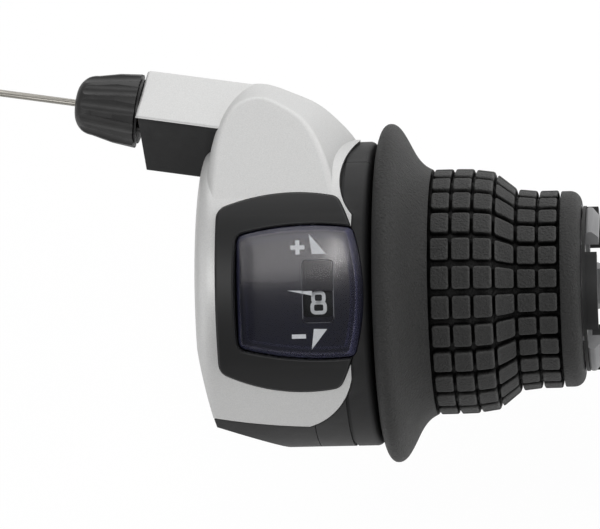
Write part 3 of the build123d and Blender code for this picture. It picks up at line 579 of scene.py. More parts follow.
class MaterialLibrary:
    """Builds each finish once and hands it out by name."""

    def __init__(self, effects: EffectLibrary) -> None:
        """Keep the shared effects and build all finishes.

        Args:
            effects: The shared node groups.
        """
        self.effects = effects
        self.by_name = {finish.name: self._build(finish) for finish in FINISHES}

    def __getitem__(self, name: str) -> bpy.types.Material:
        """Find a material by its finish's name."""
        return self.by_name[name]

    def _build(self, finish: Finish) -> bpy.types.Material:
        """Make a material from a finish.

        Args:
            finish: The finish.

        Returns:
            The material.
        """
        material = bpy.data.materials.new(finish.name)
        material.use_nodes = True
        material.diffuse_color = finish.rgba
        builders = {
            Surface.MOULDED: self._moulded,
            Surface.PAINTED: self._painted,
            Surface.CLEAR: self._clear,
            Surface.FILM: self._film,
            Surface.STRANDED: self._stranded,
            Surface.PRINTED: self._printed,
        }
        builders[finish.surface](finish, material.node_tree)
        return material

    @staticmethod
    def _shader(finish: Finish, tree: bpy.types.NodeTree) -> bpy.types.NodeInputs:
        """Set the plain values of a material's main shader.

        Args:
            finish: The finish.
            tree: The material's nodes.

        Returns:
            The main shader's inputs.
        """
        inputs = tree.nodes["Principled BSDF"].inputs
        inputs["Base Color"].default_value = finish.rgba
        inputs["Roughness"].default_value = finish.roughness
        inputs["Metallic"].default_value = finish.metallic
        inputs["Coat Weight"].default_value = finish.coat
        inputs["Specular IOR Level"].default_value = finish.specular
        return inputs

    @staticmethod
    def _effect(tree: bpy.types.NodeTree, group: bpy.types.NodeTree, **values: float) -> bpy.types.NodeOutputs:
        """Put a shared effect into a material with its own values, and give its outputs."""
        return place(tree, "Group", values, node_tree=group).outputs

    def _moulded(self, finish: Finish, tree: bpy.types.NodeTree) -> None:
        """Plastic, rubber or plain metal with fine grain, slow mottle and lighter worn edges; on the grip rubber the
        lighter edges are a painted highlight and the grooves carry painted shade.

        Args:
            finish: The finish.
            tree: The material's nodes.
        """
        shader = self._shader(finish, tree)
        grain = self._effect(tree, self.effects.grain, Scale=finish.grain_scale, Depth=finish.grain_depth)
        mottle = self._effect(tree, self.effects.mottle, Scale=160.0, Amount=finish.mottle)
        colour = blend(tree, "MULTIPLY", finish.rgba, mottle["Value"])
        # Lighter edges: worn ones on most plastics, a painted highlight along the grip rubber's blocks.
        if finish.wear_and_highlight:
            wear_and_highlight = self._effect(tree, self.effects.wear_and_highlight, Amount=finish.wear_and_highlight)
            colour = blend(tree, "MIX", colour, (*finish.wear_and_highlight_colour, 1.0), wear_and_highlight["Mask"])
        if finish.cavity < 1.0:
            cavity = self._effect(tree, self.effects.cavity, Lowest=finish.cavity)
            colour = blend(tree, "MULTIPLY", colour, cavity["Value"])
            # Painted shade: the grooves' colour is darkened and their metallic raised, so the dark colour also takes
            # the sheen out of them.
            plug(tree, work_out(tree, "SUBTRACT", 1.0, cavity["Value"]), shader["Metallic"])
        plug(tree, colour, shader["Base Color"])
        plug(tree, work_out(tree, "MULTIPLY", mottle["Value"], finish.roughness), shader["Roughness"])
        plug(tree, grain["Normal"], shader["Normal"])

    def _painted(self, finish: Finish, tree: bpy.types.NodeTree) -> None:
        """Silver paint with fine flakes.

        Args:
            finish: The finish.
            tree: The material's nodes.
        """
        shader = self._shader(finish, tree)
        flakes = self._effect(tree, self.effects.flakes, Scale=11000.0, Amount=0.09)
        mottle = self._effect(tree, self.effects.mottle, Scale=90.0, Amount=0.08)
        plug(tree, blend(tree, "MULTIPLY", finish.rgba, flakes["Value"]), shader["Base Color"])
        plug(tree, work_out(tree, "MULTIPLY", mottle["Value"], finish.roughness), shader["Roughness"])
        plug(tree, flakes["Normal"], shader["Normal"])

    def _clear(self, finish: Finish, tree: bpy.types.NodeTree) -> None:
        """Clear lens: see-through, milky on its steep sides, milkier on the outboard side as painted light, with a
        soft reflection on its outer side.

        Light passes it freely on its way to the dial.

        Args:
            finish: The finish.
            tree: The material's nodes.
        """
        tree.nodes.remove(tree.nodes["Principled BSDF"])
        geometry = place(tree, "NewGeometry").outputs
        crown = self._effect(tree, self.effects.crown)
        through = place(tree, "BsdfTransparent", {"Color": finish.rgba})
        milky = place(tree, "BsdfDiffuse", {"Color": (0.09, 0.09, 0.17, 1.0)})
        gloss = {"Color": (1.0, 0.97, 0.95, 1.0), "Roughness": finish.roughness, "Normal": crown["Normal"]}
        shine = place(tree, "BsdfGlossy", gloss)
        # Milky on the steep sides; the outboard side is made milkier still, painted light for the lamps on that side.
        facing = place(tree, "VectorMath", {0: geometry["Normal"], 1: world_axis(0, 0, 1)}, operation="DOT_PRODUCT")
        steep = remap(tree, facing.outputs["Value"], (0.96, 0.6))
        outboard = place(tree, "SeparateXYZ", {0: geometry["Normal"]}).outputs["X"]
        haze_and_painted_light = work_out(tree, "MULTIPLY", steep, remap(tree, outboard, (0.1, 0.6), (0.22, 0.6)))
        # Only the outer side reflects, and less than bare glass, since the film below has a gloss of its own.
        mirror = place(tree, "Fresnel", {"IOR": 1.5}).outputs[0]
        outer = {0: mirror, 1: geometry["Backfacing"]}
        front = place(tree, "Math", outer, operation="SUBTRACT", use_clamp=True).outputs[0]
        lens = layer(tree, layer(tree, through, milky, haze_and_painted_light), shine, work_out(tree, "MULTIPLY", front, 0.34))
        shadow_ray = place(tree, "LightPath").outputs["Is Shadow Ray"]
        lit = layer(tree, lens, place(tree, "BsdfTransparent"), shadow_ray)
        plug(tree, lit.outputs[0], tree.nodes["Material Output"].inputs["Surface"])

    def _film(self, finish: Finish, tree: bpy.types.NodeTree) -> None:
        """Glossy printed film, bowed like the window above it.

        Args:
            finish: The finish.
            tree: The material's nodes.
        """
        shader = self._shader(finish, tree)
        shader["Specular Tint"].default_value = (1.0, 0.94, 0.9, 1.0)
        mottle = self._effect(tree, self.effects.mottle, Scale=300.0, Amount=0.3)
        plug(tree, blend(tree, "MULTIPLY", finish.rgba, mottle["Value"]), shader["Base Color"])
        plug(tree, self._effect(tree, self.effects.crown)["Normal"], shader["Normal"])

    def _stranded(self, finish: Finish, tree: bpy.types.NodeTree) -> None:
        """Steel wire of twisted strands.

        Args:
            finish: The finish.
            tree: The material's nodes.
        """
        shader = self._shader(finish, tree)
        strands = self._effect(tree, self.effects.strands)
        plug(tree, blend(tree, "MULTIPLY", finish.rgba, strands["Shade"]), shader["Base Color"])
        plug(tree, strands["Normal"], shader["Normal"])

    def _printed(self, finish: Finish, tree: bpy.types.NodeTree) -> None:
        """Screen print with slightly uneven ink.

        Args:
            finish: The finish.
            tree: The material's nodes.
        """
        shader = self._shader(finish, tree)
        mottle = self._effect(tree, self.effects.mottle, Scale=900.0, Amount=0.3)
        plug(tree, blend(tree, "MULTIPLY", finish.rgba, mottle["Value"]), shader["Base Color"])


# Sub-assemblies


@dataclass
class GripRubber:
    """Rubber grip: rim, flank and a grid of soft-edged blocks. Sizes in millimetres.

    Attributes:
        flank: Radius along the rim and flank, as (x, radius) points.
        grid_in: Start of the grid along the bar.
        pitch: Column pitch.
        columns: Radii at the two ends of each column.
        groove: Width of the grooves around the grip.
        depth: Groove depth.
        rows: Blocks around the grip.
        row_groove: Angle of the grooves along the grip, in degrees.
        edge: Radius of the blocks' edges.
        corner: Radius of the blocks' corners, seen square to their faces.
        wall: Width of the steep sides of a block.
        end_ring: Radius of the plain end ring.
        grip_out: Outboard end of the rubber.
        end_round: Radius of the end ring's outer edge.
        bore: Radius of the bore.
        recess: (x, radius) of the pocket for the core's flange.
        shoulder: How far the flank ends above the first column.
        lip: Slope of the grid's end walls along the bar.
        ring_edge: Bevel of the end ring's inner edge.
        end_steps: Steps of the end ring's rounding.
        crease: Angle from which an edge is drawn sharp, in degrees.
        block_steps: Distances of the cuts from a block's edge.
    """

    flank: tuple[Point2, ...] = (
        (1.6, 25.2),
        (1.75, 26.9),
        (2.2, 28.3),
        (2.8, 29.1),
        (3.5, 29.4),
        (4.3, 29.25),
        (5.1, 28.6),
        (5.9, 27.4),
        (6.7, 25.9),
        (7.5, 24.35),
        (8.4, 23.0),
        (9.4, 22.0),
        (10.3, 21.45),
    )
    grid_in: float = 10.9
    pitch: float = 3.62
    columns: tuple[Point2, ...] = (
        (21.25, 21.25),
        (21.25, 21.17),
        (21.04, 20.59),
        (20.09, 17.6),
        (17.43, 17.1),
        (17.1, 17.1),
    )
    groove: float = 0.5
    depth: float = 1.4
    rows: int = 26
    row_groove: float = 3.1
    edge: float = 0.32
    corner: float = 0.55
    wall: float = 0.06
    end_ring: float = 16.95
    grip_out: float = 36.32
    end_round: float = 2.0
    bore: float = 14.61
    recess: Point2 = (3.15, 22.05)
    shoulder: float = 0.02
    lip: float = 0.03
    ring_edge: float = 0.12
    end_steps: int = 8
    crease: float = 50.0
    block_steps: tuple[float, ...] = (0.0, 0.03, 0.09, 0.18, 0.32, 0.6)

    def build(self, material: bpy.types.Material) -> bpy.types.Object:
        """Make the rubber and put it in place of the plain solid.

        Args:
            material: The rubber.

        Returns:
            The object.
        """
        angles = self._angles()
        plain = [0.0] * len(angles)
        rings: list[list[Vector]] = []
        rubbed: list[float] = []
        for x, radius in self._smooth_flank():
            rings.append([on_barrel(x, angle, radius) for angle, _ in angles])
            rubbed += plain
        for column in range(len(self.columns)):
            for x, across in self._column_cuts(column):
                rings.append([self._grid_point(column, x, across, angle, around) for angle, around in angles])
                rubbed += [self._painted_edge_highlight(min(across, around)) for _, around in angles]
        for x, radius in self._end_profile():
            rings.append([on_barrel(x, angle, radius) for angle, _ in angles])
            rubbed += plain
        obj = self._skin(rings)
        # The blocks' edges get a lighter colour through this attribute, a painted highlight.
        obj.data.attributes.new(PAINTED_EDGE_HIGHLIGHT, "FLOAT", "POINT").data.foreach_set("value", rubbed)
        dress(obj, material)
        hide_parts("grip_rubber")
        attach(obj, Body.TWIST.value)
        return obj

    def _painted_edge_highlight(self, inside: float) -> float:
        """How strongly a place this deep inside a block is painted lighter as an edge highlight: 1 on its edge, 0 on
        its face or in a groove.
        """
        return max(0.0, 1 - abs(inside - self.edge / 4) / self.edge) if inside >= 0 else 0.0

    def _column_start(self, column: int) -> float:
        """Place along the bar of the inboard end of a column's blocks."""
        return self.grid_in + column * self.pitch + self.groove / 2

    def _column_width(self) -> float:
        """Length of a block along the bar."""
        return self.pitch - self.groove

    def _cuts(self, start: float, width: float, scale: float) -> list[Point2]:
        """Cuts across one block and its steep sides, closest together at the rounded edges.

        Args:
            start: Where the block starts.
            width: Width of the block in millimetres.
            scale: Millimetres in one unit of the place.

        Returns:
            Places with the distance inside the block, negative on its steep sides.
        """
        near = [-self.wall] + [step for step in self.block_steps if step < width / 2]
        cuts = [(start + step / scale, step) for step in near + [width / 2]]
        return cuts + [(start + (width - step) / scale, step) for step in reversed(near)]

    def _column_cuts(self, column: int) -> list[Point2]:
        """Cuts along the bar through one column, as _cuts gives them, from the groove before it to its far side."""
        start = self._column_start(column)
        return [(start - self.groove / 2, -self.groove)] + self._cuts(start, self._column_width(), 1.0)

    def _angles(self) -> list[Point2]:
        """Cuts around the grip.

        Returns:
            Angles in radians with the distance inside a block in millimetres, negative in a groove.
        """
        radius = self.columns[0][0]
        pitch = math.tau / self.rows
        block = pitch - math.radians(self.row_groove)
        cuts: list[Point2] = []
        for row in range(self.rows):
            cuts.append((row * pitch, -self.groove))
            cuts += self._cuts(row * pitch + (pitch - block) / 2, block * radius, radius)
        return cuts

    def _grid_point(self, column: int, x: float, across: float, angle: float, around: float) -> Vector:
        """Point of the grid, with the blocks' corners drawn in to arcs.

        Args:
            column: Column number.
            x: Place along the bar.
            across: Distance inside the block along the bar.
            angle: Angle around the grip, in radians.
            around: Distance inside the block around the grip.

        Returns:
            The point in metres.
        """
        inside = min(across, around)
        start, width = self._column_start(column), self._column_width()
        if inside > -self.groove and max(across, around) < self.corner:
            p, q = self.corner - across, self.corner - around
            shrink = max(p, q) / math.hypot(p, q)
            pitch = math.tau / self.rows
            radius = self.columns[0][0]
            x += math.copysign(p * (1 - shrink), start + width / 2 - x)
            angle += math.copysign(q * (1 - shrink) / radius, pitch / 2 - angle % pitch)
        near, far = self.columns[column]
        top = near + (far - near) * min(max((x - start) / width, 0.0), 1.0)
        if inside < 0:
            return on_barrel(x, angle, top - self.depth)
        rise = max(0.0, 1 - inside / self.edge)
        return on_barrel(x, angle, top - self.edge * (1 - math.sqrt(1 - rise * rise)))

    def _smooth_flank(self) -> list[Point2]:
        """Rim and flank as a curve, down to the floor of the first groove.

        Returns:
            (x, radius) points with one more between each two of the flank.
        """
        points = self.flank
        smooth: list[Point2] = [points[0]]
        for i in range(1, len(points)):
            before = points[max(i - 2, 0)]
            after = points[min(i + 1, len(points) - 1)]
            a, b = points[i - 1], points[i]
            middle = tuple((9 * (a[k] + b[k]) - before[k] - after[k]) / 16 for k in range(2))
            smooth += [middle, b]
        start = self._column_start(0) - self.groove
        top = self.columns[0][0]
        return smooth + [(start, top + self.shoulder), (start + self.lip, top - self.depth)]

    def _end_profile(self) -> list[Point2]:
        """End ring, end face, bore and flange pocket back to the rim.

        Returns:
            (x, radius) points.
        """
        start = self._column_start(len(self.columns) - 1) + self._column_width() + self.groove
        profile = [
            (start - self.lip, self.end_ring - self.depth),
            (start, self.end_ring - self.ring_edge),
            (start + self.ring_edge, self.end_ring),
        ]
        centre_x, centre_r = self.grip_out - self.end_round, self.end_ring - self.end_round
        for step in range(self.end_steps + 1):
            angle = math.pi / 2 * (1 - step / self.end_steps)
            profile.append((centre_x + self.end_round * math.cos(angle), centre_r + self.end_round * math.sin(angle)))
        pocket_x, pocket_r = self.recess
        rim_x = self.flank[0][0]
        profile += [(self.grip_out, self.bore), (pocket_x, self.bore), (pocket_x, pocket_r), (rim_x, pocket_r)]
        return profile

    def _skin(self, rings: Sequence[Sequence[Vector]]) -> bpy.types.Object:
        """Join rings into one closed skin.

        Args:
            rings: Rings of points, the last joined to the first.

        Returns:
            The object.
        """
        around = len(rings[0])
        verts = [point for ring in rings for point in ring]
        faces = []
        for i in range(len(rings)):
            j = (i + 1) % len(rings)
            for k in range(around):
                n = (k + 1) % around
                faces.append((i * around + k, i * around + n, j * around + n, j * around + k))
        obj = new_object("grip_rubber_blocks", verts, faces, smooth=True)
        obj.data.set_sharp_from_angle(angle=math.radians(self.crease))
        return obj


@dataclass
class Digits:
    """Gear numbers on the ring behind the dial's window. Sizes in millimetres.

    Attributes:
        x: Middle of the numbers along the bar.
        radius: Radius of the ring's face.
        lift: Height of the print above the ring.
        first_angle: Angle of the highest number, in degrees.
        click: Angle between numbers, in degrees.
        highest: The number shown at rest.
        size: Width and height of a number.
        stroke: Width of its strokes.
        corner: Radius of its corners.
        bends: Pieces that each length of a stroke bends in.
        paths: Strokes of each number, as corners of a grid two wide and three high.
    """

    x: float = -7.65
    radius: float = 23.1
    lift: float = 0.03
    first_angle: float = -2.9
    click: float = 10.5
    highest: int = 8
    size: Point2 = (2.8, 4.0)
    stroke: float = 0.62
    corner: float = 0.62
    bends: int = 4
    paths: dict[int, tuple[tuple[Point2, ...], ...]] = field(
        default_factory=lambda: {
            1: (((0.2, 1.6), (0.55, 2), (0.55, 0)),),
            2: (((0, 2), (1, 2), (1, 1), (0, 1), (0, 0), (1, 0)),),
            3: (((0, 2), (1, 2), (1, 0), (0, 0)), ((0.3, 1), (1, 1))),
            4: (((0, 2), (0, 1), (1, 1)), ((1, 2), (1, 0))),
            5: (((1, 2), (0, 2), (0, 1), (1, 1), (1, 0), (0, 0)),),
            6: (((1, 2), (0, 2), (0, 0), (1, 0), (1, 1), (0, 1)),),
            7: (((0, 2), (1, 2), (1, 1.4), (0.5, 0)),),
            8: (
                ((0.5, 1), (0.08, 1), (0.08, 2), (0.92, 2), (0.92, 1), (0.5, 1)),
                ((0.5, 1), (0, 1), (0, 0), (1, 0), (1, 1), (0.5, 1)),
            ),
        }
    )

    def build(self, material: bpy.types.Material) -> bpy.types.Object:
        """Print every number on the ring.

        Args:
            material: The ink.

        Returns:
            One object with all numbers.
        """
        verts: list[Vector] = []
        faces: list[tuple[int, ...]] = []
        for number, strokes in self.paths.items():
            angle = math.radians(self.first_angle + (self.highest - number) * self.click)
            for stroke in strokes:
                self._stroke(stroke, angle, verts, faces)
        obj = new_object("gear_numbers", verts, faces, smooth=False)
        dress(obj, material)
        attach(obj, Body.TWIST.value)
        return obj

    def _stroke(
        self, stroke: Sequence[Point2], angle: float, verts: list[Vector], faces: list[tuple[int, ...]]
    ) -> None:
        """Add one stroke of a number, bent round the ring.

        Args:
            stroke: Corners on the number's grid.
            angle: Angle of the number's middle, in radians.
            verts: Points, added to.
            faces: Faces, added to.
        """
        wide, high = self.size[0] - self.stroke, self.size[1] - self.stroke
        corners = [Vector(((x - 0.5) * wide, (y - 1) * high / 2)) for x, y in stroke]
        base = len(verts)
        line = round_line(corners, self.corner)
        bent = [a.lerp(b, step / self.bends) for a, b in zip(line, line[1:]) for step in range(self.bends)]
        pairs = ribbon([*bent, line[-1]], self.stroke)
        for pair in pairs:
            for edge in pair:
                verts.append(on_barrel(self.x + edge.x, angle + edge.y / self.radius, self.radius + self.lift))
        for i in range(len(pairs) - 1):
            corner = base + 2 * i
            faces.append((corner, corner + 1, corner + 3, corner + 2))


@dataclass
class DialPrint:
    """Marks printed on the dial. Sizes in millimetres.

    Attributes:
        height: Height of the print along the window normal.
        plus: Middle of the plus.
        minus: Middle of the minus.
        arm: Length and width of the plus and minus strokes.
        up_mark: Corners of the upper triangle.
        down_mark: Corners of the lower triangle.
        pointer: Corners of the pale wedge by the number window.
        panel: Low and high corners of the dull rectangle round the number window.
        window: Low and high corners of the number window.
        frame: Corner radius and width of the line round the dull rectangle.
    """

    height: float = 24.23
    plus: Point2 = (-10.9, 8.25)
    minus: Point2 = (-11.0, -6.8)
    arm: Point2 = (2.4, 0.72)
    up_mark: tuple[Point2, ...] = ((-8.94, 10.5), (-6.07, 7.05), (-8.48, 7.1))
    down_mark: tuple[Point2, ...] = ((-8.44, -5.58), (-6.17, -5.63), (-8.87, -9.05))
    pointer: tuple[Point2, ...] = ((-12.8, 1.0), (-8.6, 0.87), (-8.6, 0.04))
    panel: tuple[Point2, Point2] = ((-10.25, -4.5), (-5.0, 6.1))
    window: tuple[Point2, Point2] = ((-10.16, -3.58), (-5.14, 0.84))
    frame: Point2 = (0.9, 0.16)

    def build(self, materials: MaterialLibrary) -> list[bpy.types.Object]:
        """Print the marks.

        Args:
            materials: The finishes.

        Returns:
            The printed objects.
        """
        half, stroke = self.arm[0] / 2, self.arm[1] / 2
        marks = [self.up_mark, self.down_mark, self.pointer]
        for x, y in (self.plus, self.minus):
            marks.append(self._box((x - half, y - stroke), (x + half, y + stroke)))
        x, y = self.plus
        marks.append(self._box((x - stroke, y + stroke), (x + stroke, y + half)))
        marks.append(self._box((x - stroke, y - half), (x + stroke, y - stroke)))
        low, high = self.panel
        (_, hole_bottom), (_, hole_top) = self.window
        panel = [self._box((low[0], hole_top), high), self._box(low, (high[0], hole_bottom))]
        return [
            self._print("dial_marks", marks, materials["print_white"]),
            self._print("dial_panel", panel, materials["print_grey"]),
            self._print("dial_frame", self._frame(), materials["print_line"]),
        ]

    def _frame(self) -> list[tuple[Point2, ...]]:
        """Thin line round the dull rectangle.

        Returns:
            Outlines of its pieces.
        """
        (left, bottom), (right, top) = self.panel
        middle = (left + right) / 2
        corners = [(middle, top), (right, top), (right, bottom), (left, bottom), (left, top), (middle, top)]
        radius, width = self.frame
        pairs = ribbon(round_line([Vector(corner) for corner in corners], radius), width)
        return [(*(tuple(p) for p in a), *(tuple(p) for p in reversed(b))) for a, b in zip(pairs, pairs[1:])]

    @staticmethod
    def _box(low: Point2, high: Point2) -> tuple[Point2, ...]:
        """Four corners of a rectangle, from its low and high ones."""
        return (low, (high[0], low[1]), high, (low[0], high[1]))

    def _print(self, name: str, shapes: Sequence[Sequence[Point2]], ink: bpy.types.Material) -> bpy.types.Object:
        """Lay flat shapes on the dial.

        Args:
            name: Object name.
            shapes: Outlines in the window's plane.
            ink: Their material.

        Returns:
            The object.
        """
        verts: list[Vector] = []
        faces: list[tuple[int, ...]] = []
        for shape in shapes:
            base = len(verts)
            verts += [world_point(x, y, self.height) for x, y in shape]
            faces.append(tuple(range(base, base + len(shape))))
        obj = new_object(name, verts, faces, smooth=False)
        dress(obj, ink)
        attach(obj, Body.HOUSING.value)
        return obj


@dataclass
class ShiftWire:
    """Free shift wire: a straight run and the coil of its spare length. Sizes in millimetres.

    Attributes:
        rise: Angle of the nose, in degrees.
        elbow: Corner of the wire's path, in the drawing frame.
        tip: Distance from the elbow to the knob's tip.
        run: Length of the straight run.
        coil: Mean diameter of the coil.
        diameter: Wire diameter.
        pitch: Spacing of turns in the bundle.
        length: Real length of the free wire; not used.
        lead: Distance before the coil at which the wire starts to bend.
        turns: Turns of the coil.
        per_turn: Points in one turn.
        rings: Turns at which the bundle's first and second rings start.
    """

    rise: float = 9.0
    elbow: tuple[float, float, float] = (-16.7, 29.0, 3.0)
    tip: float = 34.72
    run: float = 38.0
    coil: float = 31.0
    diameter: float = 1.2
    pitch: float = 1.26
    length: float = 1930.0
    lead: float = 2.0
    turns: int = 19
    per_turn: int = 16
    rings: Point2 = (1.0, 7.0)

    def build(self, material: bpy.types.Material) -> bpy.types.Object:
        """Make the wire as one smooth curve.

        Args:
            material: The wire's steel.

        Returns:
            The curve object.
        """
        rise = math.radians(self.rise)
        along = world_axis(-math.cos(rise), math.sin(rise), 0.0)
        start = world_point(*self.elbow) + along * (self.tip * MM)
        end = start + along * (self.run * MM)
        down = Vector((0.0, 0.0, -1.0))
        down = (down - along * down.dot(along)).normalized()
        side = (down * -1).cross(along)
        centre = end + down * (self.coil / 2 * MM)
        points = [start, start.lerp(end, 0.5), end - along * (self.lead * MM)]
        for step in range(self.turns * self.per_turn + 1):
            turn = step / self.per_turn
            out, aside = self._slot(turn)
            angle = math.tau * turn
            radial = down * -math.cos(angle) + along * math.sin(angle)
            points.append(centre + radial * ((self.coil / 2 + out) * MM) + side * (aside * MM))
        obj = self._curve(points)
        dress(obj, material)
        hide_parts("shift_wire", "wire_coil")
        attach(obj, Body.HOUSING.value)
        return obj

    def _slot(self, turn: float) -> Point2:
        """Place of a turn in the bundle: the middle, then a ring of six, then a ring of twelve.

        The wire moves out to the next ring over one turn.

        Args:
            turn: Turns from the start of the coil.

        Returns:
            Offsets out from the coil's centre and along its axis.
        """
        first, second = self.rings
        if turn < first:
            radius, angle = self.pitch * turn, 0.0
        elif turn < second:
            radius, angle = self.pitch, (turn - first) * math.tau / 6
            radius += self.pitch * max(0.0, turn - second + 0.5)
        else:
            radius = self.pitch * min(2.0, 1.5 + turn - second)
            angle = (turn - second) * math.tau / 12
        return radius * math.cos(angle), radius * math.sin(angle)

    def _curve(self, points: Sequence[Vector]) -> bpy.types.Object:
        """Round curve through control points.

        Args:
            points: Control points in metres.

        Returns:
            The curve object.
        """
        curve = bpy.data.curves.new("shift_wire_run", "CURVE")
        curve.dimensions = "3D"
        curve.bevel_depth = self.diameter / 2 * MM
        curve.bevel_resolution = 2
        curve.use_fill_caps = True
        curve.resolution_u = 2
        spline = curve.splines.new("NURBS")
        spline.points.add(len(points) - 1)
        for control, point in zip(spline.points, points):
            control.co = (*point, 1.0)
        spline.order_u = 3
        spline.use_endpoint_u = True
        obj = bpy.data.objects.new("shift_wire_run", curve)
        bpy.context.scene.collection.objects.link(obj)
        return obj


class Shifter:
    """The whole part: dressed solids and the finer pieces made here."""

    def __init__(self, frame: dict, materials: MaterialLibrary) -> None:
        """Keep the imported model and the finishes.

        Args:
            materials: The finishes.
        """
        self.nodes: dict[str, bpy.types.Object] = frame["nodes"]
        self.slots = {part["node"]: part["material_slot"] for part in frame["record"]["subparts"]}
        self.materials = materials

    def dress_solids(self) -> list[str]:
        """Give every solid the finish that the record names for it.

        Returns:
            Names of the solids.
        """
        for name, obj in self.nodes.items():
            dress(obj, self.materials[self.slots[name]])
        return list(self.nodes)

    def make_pieces(self) -> list[str]:
        """Add the finer pieces.

        Returns:
            Their names.
        """
        pieces = [
            GripRubber().build(self.materials["grip_rubber"]),
            Digits().build(self.materials["print_white"]),
            *DialPrint().build(self.materials),
            ShiftWire().build(self.materials["wire_steel"]),
        ]
        return [piece.name for piece in pieces]


# Studio


@dataclass(frozen=True)
class Softbox:
    """A soft lamp, level with the picture.

    Attributes:
        name: Lamp name.
        aim: Direction from the part to the lamp, in camera axes: right, up, back.
        distance: Distance in metres.
        size: Width and height in metres.
        power: Power in watts.
    """

    name: str
    aim: tuple[float, float, float]
    distance: float
    size: Point2
    power: float


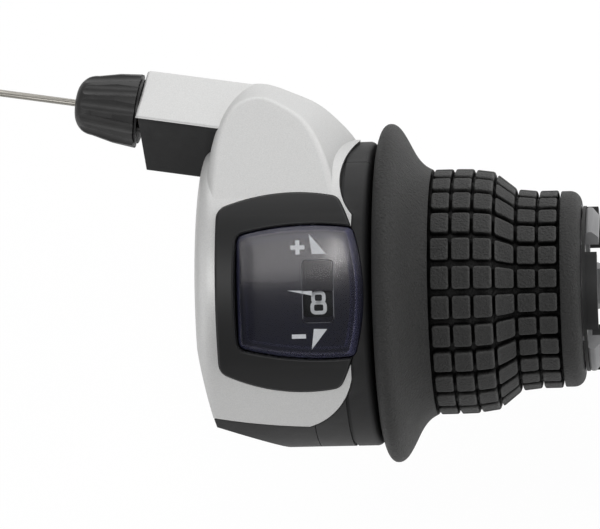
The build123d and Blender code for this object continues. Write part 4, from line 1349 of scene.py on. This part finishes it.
@dataclass
class Studio:
    """Camera, lamps, floor and world.

    Attributes:
        frame_px: Width and height of the picture.
        px_per_mm: Scale of the picture at the bar's axis.
        origin_px: Where the part's origin falls in the picture.
        swing: Angle of the camera towards the outboard side, in degrees.
        roll: Tilt of the bar in the picture, in degrees.
        distance: Camera distance in metres.
        sensor: Width of the camera's sensor, in millimetres.
        clip: Nearest and farthest distance that the camera sees, in metres.
        floor_drop: Distance of the floor below the part, in metres.
        floor_half: Half the floor's side, in metres.
        floor_tone: Grey of the floor, linear.
        floor_gloss: Roughness of the floor.
        white: Brightness of what the camera sees behind the part.
        glow: Share of that brightness in the floor; the rest takes the part's shadow.
        surround: Brightness of the surroundings for all other rays.
        lamps: The lamps.
    """

    frame_px: Point2 = (600.0, 529.0)
    px_per_mm: float = 5.75
    origin_px: Point2 = (375.0, 293.5)
    swing: float = 5.8
    roll: float = 1.4
    distance: float = 0.8
    sensor: float = 36.0
    clip: Point2 = (0.05, 20.0)
    floor_drop: float = 0.09
    floor_half: float = 4.0
    floor_tone: float = 0.85
    floor_gloss: float = 0.9
    white: float = 1.03
    glow: float = 0.86
    surround: float = 0.3
    lamps: tuple[Softbox, ...] = (
        Softbox("top", (0.0, 1.0, 0.0), 0.7, (0.8, 0.8), 1.8),
        Softbox("back", (0.0, 1.0, -0.45), 0.7, (0.8, 0.8), 1.0),
        Softbox("fill", (1.0, 0.6, 0.1), 0.7, (0.7, 0.7), 1.9),
        Softbox("right", (1.0, 0.0, 0.3), 0.7, (0.4, 0.7), 1.2),
        Softbox("left", (-1.0, 0.0, 0.5), 0.7, (0.6, 0.7), 1.1),
        Softbox("window", (-0.28, 0.24, 0.93), 0.9, (0.52, 0.34), 1.7),
        Softbox("glint", (0.0, 0.2, 1.0), 0.95, (0.1, 0.12), 0.4),
    )

    def _axes(self) -> tuple[Vector, Vector, Vector]:
        """Camera axes.

        Returns:
            Right, up and back in the part's frame.
        """
        swing, roll = math.radians(self.swing), math.radians(self.roll)
        along, up, out = (world_axis(*axis) for axis in ((1, 0, 0), (0, 1, 0), (0, 0, 1)))
        back = along * math.sin(swing) + out * math.cos(swing)
        level = along * math.cos(swing) - out * math.sin(swing)
        right = level * math.cos(roll) - up * math.sin(roll)
        top = up * math.cos(roll) + level * math.sin(roll)
        return right, top, back

    def build(self, low: Vector) -> None:
        """Make the studio.

        Args:
            low: Lowest corner of the part.
        """
        right, up, back = self._axes()
        self._camera(right, up, back)
        for lamp in self.lamps:
            self._lamp(lamp, right, up, back)
        self._floor(low.z - self.floor_drop)
        self._world()
        bpy.context.scene.view_settings.view_transform = "Standard"

    def _camera(self, right: Vector, up: Vector, back: Vector) -> None:
        """Make the camera.

        Args:
            right: Right in the picture.
            up: Up in the picture.
            back: From the part to the camera.
        """
        width, height = self.frame_px
        shift_x = (width / 2 - self.origin_px[0]) / self.px_per_mm * MM
        shift_y = (self.origin_px[1] - height / 2) / self.px_per_mm * MM
        target = right * shift_x + up * shift_y
        data = bpy.data.cameras.new("camera")
        data.sensor_width = self.sensor
        data.lens = self.sensor * self.distance / (width / self.px_per_mm * MM)
        data.clip_start, data.clip_end = self.clip
        camera = bpy.data.objects.new("camera", data)
        turn = Matrix((right, up, back)).transposed().to_4x4()
        camera.matrix_world = Matrix.Translation(target + back * self.distance) @ turn
        bpy.context.scene.collection.objects.link(camera)
        bpy.context.scene.camera = camera

    @staticmethod
    def _lamp(lamp: Softbox, right: Vector, up: Vector, back: Vector) -> None:
        """Make one lamp.

        Args:
            lamp: Its sizes and place.
            right: Right in the picture.
            up: Up in the picture.
            back: From the part to the camera.
        """
        aim = (right * lamp.aim[0] + up * lamp.aim[1] + back * lamp.aim[2]).normalized()
        data = bpy.data.lights.new(lamp.name, "AREA")
        data.shape = "RECTANGLE"
        data.size, data.size_y = lamp.size
        data.energy = lamp.power
        obj = bpy.data.objects.new(lamp.name, data)
        level = (right - aim * right.dot(aim)).normalized()
        turn = Matrix((level, aim.cross(level), aim)).transposed().to_4x4()
        obj.matrix_world = Matrix.Translation(aim * lamp.distance) @ turn
        bpy.context.scene.collection.objects.link(obj)

    def _floor(self, height: float) -> None:
        """Make the pale floor, which keeps the part's shadow.

        Args:
            height: Its height in metres.
        """
        half = self.floor_half
        corners = [Vector((x * half, y * half, height)) for x, y in ((-1, -1), (1, -1), (1, 1), (-1, 1))]
        floor = new_object("floor", corners, [(0, 1, 2, 3)], smooth=False)
        material = bpy.data.materials.new("floor_white")
        material.use_nodes = True
        tree = material.node_tree
        paint = tree.nodes["Principled BSDF"]
        paint.inputs["Base Color"].default_value = (*[self.floor_tone] * 3, 1.0)
        paint.inputs["Roughness"].default_value = self.floor_gloss
        light = place(tree, "Emission", {"Strength": self.white})
        ray = place(tree, "LightPath").outputs
        seen = work_out(tree, "MAXIMUM", ray["Is Camera Ray"], ray["Is Transmission Ray"])
        mixed = layer(tree, paint, light, work_out(tree, "MULTIPLY", seen, self.glow))
        plug(tree, mixed.outputs[0], tree.nodes["Material Output"].inputs["Surface"])
        dress(floor, material)
        floor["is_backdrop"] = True

    def _world(self) -> None:
        """Make the pale surroundings."""
        world = bpy.data.worlds.new("studio")
        bpy.context.scene.world = world
        world.use_nodes = True
        tree = world.node_tree
        background = tree.nodes["Background"].inputs
        background["Color"].default_value = (1.0, 1.0, 1.0, 1.0)
        seen = place(tree, "LightPath").outputs["Is Camera Ray"]
        plug(tree, remap(tree, seen, (0.0, 1.0), (self.surround, self.white)), background["Strength"])


def main() -> None:
    """Build the scene."""
    logging.basicConfig(level=logging.INFO, format="%(message)s")
    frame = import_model()
    cad_box = [list(corner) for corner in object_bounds()]
    shifter = Shifter(frame, MaterialLibrary(EffectLibrary()))
    for name in shifter.dress_solids():
        LOG.info("dressed %s with %s", name, shifter.slots[name])
    for name in shifter.make_pieces():
        LOG.info("made %s", name)
    Studio().build(Vector(cad_box[0]))


if __name__ == "__main__":
    main()
